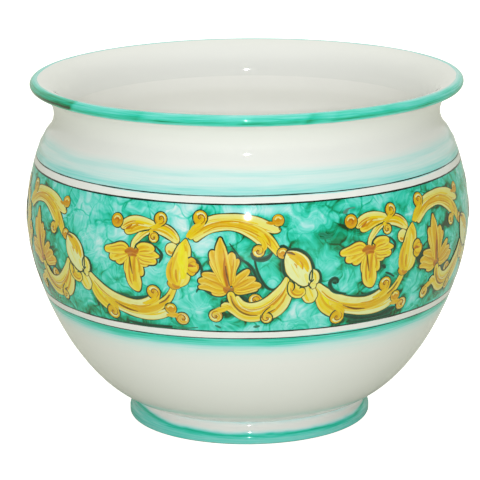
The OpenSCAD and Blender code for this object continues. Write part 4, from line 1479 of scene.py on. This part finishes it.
hand = add(brush, VECTOR, {0: hand, 1: (1.0, 1.0, 0.0)}, operation="MULTIPLY")
offset = add(brush, VECTOR, {0: hand, 1: shift}, operation="ADD")
placed = add(brush, "GeometryNodeSetPosition", {"Geometry": copies, "Offset": offset})
upright = add(brush, "GeometryNodeSetCurveNormal", {"Curve": placed}, mode="Z_UP")
print("the brush looks up", ", ".join(known))

# %% The brush: the ribbon's section, from flat points across to a closed loop
count = add(brush, MATH, {0: given.outputs["Points across"], 1: 2.0}, operation="ADD")
section = add(brush, "GeometryNodeMeshLine", {"Count": count})
number = add(brush, "GeometryNodeInputIndex")
last_top = add(brush, MATH, {0: given.outputs["Points across"], 1: 1.0}, operation="SUBTRACT")
on_top = add(brush, MATH, {0: number, 1: given.outputs["Points across"]}, operation="LESS_THAN")
sweep = add(brush, RANGE, {
    "Value": number, "From Max": last_top, "To Min": -math.pi / 2, "To Max": math.pi / 2})
spread = add(brush, MATH, {0: sweep}, operation="SINE")
past = add(brush, MATH, {0: number, 1: given.outputs["Points across"]}, operation="SUBTRACT")
under = add(brush, MATH, {0: past, 1: -2.0, 2: 1.0}, operation="MULTIPLY_ADD")
across = add(brush, MIX, {0: on_top, 2: under, 3: spread})
marked = add(brush, STORE, {
    "Geometry": section, "Name": "across", "Value": across.outputs[0]}, data_type="FLOAT")
marked = add(brush, STORE, {
    "Geometry": marked, "Name": "top", "Value": on_top}, data_type="FLOAT")
flat = add(brush, "GeometryNodeSetPosition", {
    "Geometry": marked, "Position": add(brush, COMBINE, {0: known["across"]})})
section_line = add(brush, "GeometryNodeMeshToCurve", {"Mesh": flat})
loop = add(brush, "GeometryNodeSetSplineCyclic", {"Geometry": section_line, "Cyclic": True})
ribbon = add(brush, "GeometryNodeCurveToMesh", {
    "Curve": upright, "Profile Curve": loop, "Scale": known["half_width"], "Fill Caps": True})
print(len(brush.nodes), "nodes so far")

# %% The brush: bend the flat drawing onto the wall
SUNK_MM = 0.3
wall_line = add(brush, "GeometryNodeObjectInfo", {"Object": given.outputs["Wall line"]})
wall_curve = add(brush, "GeometryNodeMeshToCurve", {"Mesh": wall_line.outputs["Geometry"]})
uv = add(brush, SEPARATE, {0: add(brush, "GeometryNodeInputPosition")})
round_angle = add(brush, MATH, {0: uv.outputs["X"], 1: UNROLL_R}, operation="DIVIDE")
up_wall = add(brush, MATH, {0: uv.outputs["Y"], 1: band_start}, operation="ADD")
up_wall = add(brush, MATH, {0: up_wall, 1: MM}, operation="MULTIPLY")
at_wall = add(brush, "GeometryNodeSampleCurve", {
    "Curves": wall_curve, "Length": up_wall}, mode="LENGTH", data_type="FLOAT")
wall_at = add(brush, SEPARATE, {0: at_wall.outputs["Position"]})
wall_run = add(brush, SEPARATE, {0: at_wall.outputs["Tangent"]})
sine = add(brush, MATH, {0: round_angle}, operation="SINE")
cosine = add(brush, MATH, {0: round_angle}, operation="COSINE")
minus_cosine = add(brush, MATH, {0: cosine, 1: -1.0}, operation="MULTIPLY")
radial = add(brush, COMBINE, {0: sine, 1: minus_cosine})
outward = add(brush, VECTOR, {0: radial, "Scale": wall_run.outputs["Z"]}, operation="SCALE")
tip = add(brush, MATH, {0: wall_run.outputs["X"], 1: -1.0}, operation="MULTIPLY")
wall_normal = add(brush, VECTOR, {
    0: outward, 1: add(brush, COMBINE, {2: tip})}, operation="ADD")
paint_height = add(brush, MIX, {0: known["top"], 2: -SUNK_MM, 3: known["height"]})
lift = add(brush, VECTOR, {
    0: wall_normal, "Scale": add(brush, MATH, {0: paint_height, 1: MM}, operation="MULTIPLY")},
    operation="SCALE")
on_circle = add(brush, VECTOR, {0: radial, "Scale": wall_at.outputs["X"]}, operation="SCALE")
on_wall = add(brush, VECTOR, {
    0: on_circle, 1: add(brush, COMBINE, {2: wall_at.outputs["Z"]})}, operation="ADD")
painted_place = add(brush, VECTOR, {0: on_wall, 1: lift}, operation="ADD")
print(len(brush.nodes), "nodes so far")

# %% The brush: colour across the stroke, marks for the hairs, and the result
EDGE_POWER = 2.2
side = add(brush, MATH, {0: known["across"]}, operation="ABSOLUTE")
side = add(brush, MATH, {0: side, 1: EDGE_POWER}, operation="POWER")
tint = add(brush, MIX, {0: side, 6: known["core"], 7: known["edge"]}, data_type="RGBA")
sideways = add(brush, MATH, {0: known["across"], 1: known["half_width"]}, operation="MULTIPLY")
hair_place = add(brush, COMBINE, {0: known["along"], 1: sideways, 2: known["number"]})
tinted = add(brush, STORE, {
    "Geometry": ribbon, "Name": "tint", "Value": tint.outputs[2]}, data_type="FLOAT_COLOR")
haired = add(brush, STORE, {
    "Geometry": tinted, "Name": "hair", "Value": hair_place}, data_type="FLOAT_VECTOR")
faced = add(brush, STORE, {
    "Geometry": haired, "Name": "facing", "Value": wall_normal}, data_type="FLOAT_VECTOR")
bent = add(brush, "GeometryNodeSetPosition", {"Geometry": faced, "Position": painted_place})
smooth = add(brush, "GeometryNodeSetShadeSmooth", {"Geometry": bent})
real = add(brush, "GeometryNodeRealizeInstances", {"Geometry": smooth})
done = add(brush, "GeometryNodeSetMaterial", {"Geometry": real, "Material": given.outputs["Paint"]})
add(brush, "NodeGroupOutput", {0: done})
print("brush tree:", len(brush.nodes), "nodes")

# %% [markdown]
# The scroll's paint lies in the glaze, so its gloss is the same as the wall's. What it adds to the eye is
# the brush: fine hairs along each stroke, and slow pools in which the yellow thickens to amber. `hair` holds
# the place along and across the stroke, so the hairs follow every bend.

# %% Yellow paint and ink
# Sizes are in mm along and across a stroke: the hairs, the pools, and the dry patches of the ink
HAIRS_MM, POOLS_MM, DRY_MM = (9, 0.55, 1), (8, 4, 1), (5, 1.2, 1)
HAIRS, POOLS = 0.55, 0.9
THICKER, THINNER, DRIER = 1.6, -0.5, 0.7
AMBER_FILTER = (0.92, 0.76, 0.2)
yellow_paint, tree = material("antimony_yellow_under_glaze")
where = in_mm(tree)
hair = add(tree, STORED, attribute_name="hair").outputs["Vector"]
tint = add(tree, STORED, attribute_name="tint").outputs["Color"]
hairs = noise_at(tree, hair, HAIRS_MM, detail=2.0, distortion=0.2)
pools = noise_at(tree, hair, POOLS_MM, detail=2.0)
load = add(tree, MATH, {0: pools, 1: POOLS}, operation="MULTIPLY")
load = add(tree, MATH, {0: hairs, 1: HAIRS, 2: load}, operation="MULTIPLY_ADD")
thicker = add(tree, MATH, {0: load, 1: THICKER}, operation="MULTIPLY", use_clamp=True)
thinner = add(tree, MATH, {0: load, 1: THINNER}, operation="MULTIPLY", use_clamp=True)
amber_tint = add(tree, VECTOR, {0: tint, 1: AMBER_FILTER}, operation="MULTIPLY")
tint_thick = add(tree, MIX, {0: thicker, 6: tint, 7: amber_tint}, data_type="RGBA").outputs[2]
colour = add(tree, MIX, {0: thinner, 6: tint_thick, 7: linear(CREAM)}, data_type="RGBA").outputs[2]
glaze(tree, colour, where)

ink, tree = material("green_black_outline_ink")
where = in_mm(tree)
hair = add(tree, STORED, attribute_name="hair").outputs["Vector"]
tint = add(tree, STORED, attribute_name="tint").outputs["Color"]
dry = noise_at(tree, hair, DRY_MM, detail=2.0)
paler = add(tree, MATH, {0: dry, 1: DRIER}, operation="MULTIPLY", use_clamp=True)
colour = add(tree, MIX, {0: paler, 6: tint, 7: linear(DRY_INK)}, data_type="RGBA").outputs[2]
glaze(tree, colour, where)

# %% [markdown]
# One function sends all strokes of a kind through the brush and returns them as one piece. Each kind is a
# piece of its own, so that the leaves, say, can be looked at or changed without their outlines. The brush
# bends them along `wall_guide`, a line with the wall's own profile, which goes when all are painted.

# %% From strokes to a painted piece
HAIR_SHIFT_MM = 5.7
wall_guide = bpy.data.objects.new("wall_guide", line_mesh("wall_line", outside))
bpy.context.scene.collection.objects.link(wall_guide)


def painted(name, marks, points_across, paint, copies_round=REPEATS):
    """Sends strokes through the brush and returns one piece."""
    path = np.concatenate([mark["path"] for mark in marks])
    starts = np.cumsum([0] + [len(mark["path"]) for mark in marks])
    edges = [(i, i + 1) for a, b in zip(starts, starts[1:]) for i in range(a, b - 1)]
    mesh = bpy.data.meshes.new(name + "_lines")
    mesh.from_pydata([(u, v, 0) for u, v, _ in path], edges, [])
    floats = {
        "half_width": path[:, 2],
        "height": np.concatenate([np.full(len(mark["path"]), mark["height"]) for mark in marks]),
        "along": np.concatenate([lengths(mark["path"][:, :2]) for mark in marks]),
        "number": np.concatenate([
            np.full(len(mark["path"]), i * HAIR_SHIFT_MM) for i, mark in enumerate(marks)]),
    }
    for key, values in floats.items():
        store(mesh, key, values)
    for key in ("core", "edge"):
        store(mesh, key, np.concatenate([mark[key] for mark in marks]), "FLOAT_COLOR", "color")
    piece = grow(name, mesh, brush, BRUSH_INPUTS, {
        "Wall line": wall_guide, "Copies": copies_round, "Points across": points_across, "Paint": paint})
    if volume(piece.data) < 0:
        piece.data.flip_normals()
    true_normals(piece.data, limit=-0.5)
    for key in known:
        if key in piece.data.attributes:
            piece.data.attributes.remove(piece.data.attributes[key])
    print(name, len(piece.data.polygons), "faces")
    return piece


def kind_of(kind):
    """All strokes of one kind."""
    return [mark for mark in painting if mark["kind"] == kind]


print("wall guide:", len(wall_guide.data.vertices), "points")

# %% The four ink rings
# Each is a height on the pot and a half-width in mm; the ends of a ring overlap at the back
RINGS = ((LINE_TOP, 0.42), (BAND_TOP, 0.62), (BAND_LOW, 0.6), (LINE_LOW, 0.42))
RING_POINTS, RING_ACROSS = 560, 3
RING_OVERLAP = 3.0
SWELL, SWELL_PACE = 0.22, 19.0
SHAKE, SHAKE_PACE = 0.1, 5.0
WEAVE_MM, WEAVE_PACE = 0.25, 60.0
rings = []
for z, half in RINGS:
    v = float(np.interp(z, outside[:, 1], outside_s)) - band_start
    u = np.linspace(-ROUND / 2 - RING_OVERLAP, ROUND / 2 + RING_OVERLAP, RING_POINTS)
    width = half * (1 + SWELL * drift(u, z, SWELL_PACE) + SHAKE * drift(u, z, SHAKE_PACE))
    path = np.stack([u, v + WEAVE_MM * drift(u, z * 2, WEAVE_PACE), width], 1)
    tone = np.tile(linear(INK), (len(u), 1))
    rings.append({"kind": "ring", "path": path, "core": tone, "edge": tone, "height": BASE_HEIGHT})
ring_lines = painted("band_ring_lines", rings, RING_ACROSS, ink, 1)

# %% The scroll
# Points across a ribbon: wide strokes have more, so that their colour changes smoothly towards the edge
NARROW, WIDE, WIDEST = 5, 7, 9
outlines = painted("scroll_outlines", kind_of("outline") + kind_of("inner ink"), NARROW, ink)
leaves = painted("scroll_leaves", kind_of("leaf"), WIDE, yellow_paint)
limbs = painted("scroll_limbs", kind_of("limb"), WIDEST, yellow_paint)
leaf_streaks = painted("scroll_leaf_streaks", kind_of("leaf streak"), NARROW, yellow_paint)
limb_streaks = painted("scroll_limb_streaks", kind_of("limb streak"), NARROW, yellow_paint)
veins = painted("scroll_veins", kind_of("vein"), NARROW, yellow_paint)
front_yellow = painted("front_yellow_touches", kind_of("front yellow"), NARROW, yellow_paint, 1)
front_green = painted("front_green_touches", kind_of("front green"), NARROW, ink, 1)
bpy.data.objects.remove(wall_guide)

# %% [markdown]
# A plain studio: a large pale floor, a sky that is brighter behind the pot and overhead than in front, and a
# small bright lamp at the camera, because the photo was taken with a flash and shows its sharp highlights on
# lip, shoulder, band and foot. A wide, faint lamp overhead softens the shadow at the foot. The background
# is white for the camera only, and so is the floor's own glow: a Light Path node tells them which ray is
# asking, so both look white without flooding the pot with light.

# %% Floor
FLOOR_SIZE = 24.0
FLOOR_PAPER = (0.69, 0.70, 0.63, 1.0)
FLOOR_GLOW = 0.88
half = FLOOR_SIZE / 2
corners = [(-half, -half, 0), (half, -half, 0), (half, half, 0), (-half, half, 0)]
floor_mesh = bpy.data.meshes.new("studio_floor")
floor_mesh.from_pydata(corners, [], [(0, 1, 2, 3)])
studio_floor = bpy.data.objects.new("studio_floor", floor_mesh)
bpy.context.scene.collection.objects.link(studio_floor)
paper, tree = material("pale_paper_floor")
seen = add(tree, "ShaderNodeLightPath").outputs["Is Camera Ray"]
matt = add(tree, "ShaderNodeBsdfDiffuse", {"Color": FLOOR_PAPER})
glow = add(tree, "ShaderNodeEmission", {
    "Strength": add(tree, MATH, {0: seen, 1: FLOOR_GLOW}, operation="MULTIPLY")})
add(tree, "ShaderNodeOutputMaterial", {"Surface": add(tree, "ShaderNodeAddShader", {0: matt, 1: glow})})
floor_mesh.materials.append(paper)
print("floor", FLOOR_SIZE, "m wide")

# %% Sky
# The ranges are shares of the way to straight behind the pot and to straight overhead
AMBIENT = 0.28
BACKDROP, BACKDROP_FROM, BACKDROP_TO = 0.75, 0.1, 0.8
CEILING, CEILING_FROM, CEILING_TO = 0.85, 0.5, 0.95
SKY_TINT = (1.0, 1.01, 0.93, 1.0)
WHITE = (1.0, 1.0, 1.0, 1.0)
world = bpy.data.worlds.new("studio")
bpy.context.scene.world = world
world.use_nodes = True
tree = world.node_tree
tree.nodes.clear()
seen = add(tree, "ShaderNodeLightPath").outputs["Is Camera Ray"]
way = add(tree, SEPARATE, {0: add(tree, "ShaderNodeTexCoord").outputs["Generated"]})
behind = add(tree, RANGE, {
    "Value": way.outputs["Y"], "From Min": BACKDROP_FROM, "From Max": BACKDROP_TO,
    "To Min": AMBIENT, "To Max": BACKDROP})
above = add(tree, RANGE, {
    "Value": way.outputs["Z"], "From Min": CEILING_FROM, "From Max": CEILING_TO, "To Max": CEILING})
around = add(tree, MATH, {0: behind, 1: above}, operation="ADD")
level = add(tree, MIX, {0: seen, 2: around, 3: 1.0})
tone = add(tree, MIX, {0: seen, 6: SKY_TINT, 7: WHITE}, data_type="RGBA").outputs[2]
sky = add(tree, "ShaderNodeBackground", {"Color": tone, "Strength": level})
add(tree, "ShaderNodeOutputWorld", {"Surface": sky})
print("sky from", AMBIENT, "in front to", BACKDROP, "behind")

# %% Lamps
FLASH_WATT, FLASH_SIZE = 18.0, 0.05
FLASH_OFF_LENS = Vector((0.0, 0.02, 0.0))
OVERHEAD_WATT, OVERHEAD_SIZE = 2.0, 1.8
OVERHEAD_AT = (0.0, -0.2, 1.95)
LAMP_TINT = (1.0, 1.0, 1.05)


def lamp(name, place_at, aim_at, watt, size):
    """A square area lamp that looks at a point."""
    data = bpy.data.lights.new(name, "AREA")
    data.energy = watt
    data.color = LAMP_TINT
    data.size = size
    made = bpy.data.objects.new(name, data)
    made.location = place_at
    made.rotation_euler = (Vector(aim_at) - Vector(place_at)).to_track_quat("-Z", "Y").to_euler()
    bpy.context.scene.collection.objects.link(made)
    return made


pot_middle = (0.0, 0.0, POT_H * MM / 2)
flash = lamp("flash", CAMERA_AT + FLASH_OFF_LENS, pot_middle, FLASH_WATT, FLASH_SIZE)
overhead = lamp("overhead", OVERHEAD_AT, pot_middle, OVERHEAD_WATT, OVERHEAD_SIZE)
bpy.context.scene.view_settings.view_transform = "Standard"
for made in (flash, overhead):
    print(made.name, made.data.energy, "W at", [round(x, 2) for x in made.location])

# %% [markdown]
# Last, each piece is hung on the root, because nothing on the pot moves. The CAD parts of the four turned
# pieces are hidden, as the pieces replace the clay that they stand for, and the paint lies on top of it. The
# floor is only a stage, and isn't part of the pot.

# %% Each piece on the root, and the CAD parts hidden
for piece, nodes, slot_name in (
    (lip, ("rim_lip",), "painted_rim_glaze"),
    (wall, ("shoulder_wall", "bowl_wall"), "tin_glaze"),
    (floor_disc, ("base_floor",), "tin_glaze"),
    (foot, ("foot_ring",), "painted_foot_glaze"),
):
    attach(piece, "root")
    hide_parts(*nodes)
for piece in (ring_lines, outlines, leaves, limbs, leaf_streaks, limb_streaks, veins, front_yellow,
              front_green):
    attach(piece, "root")
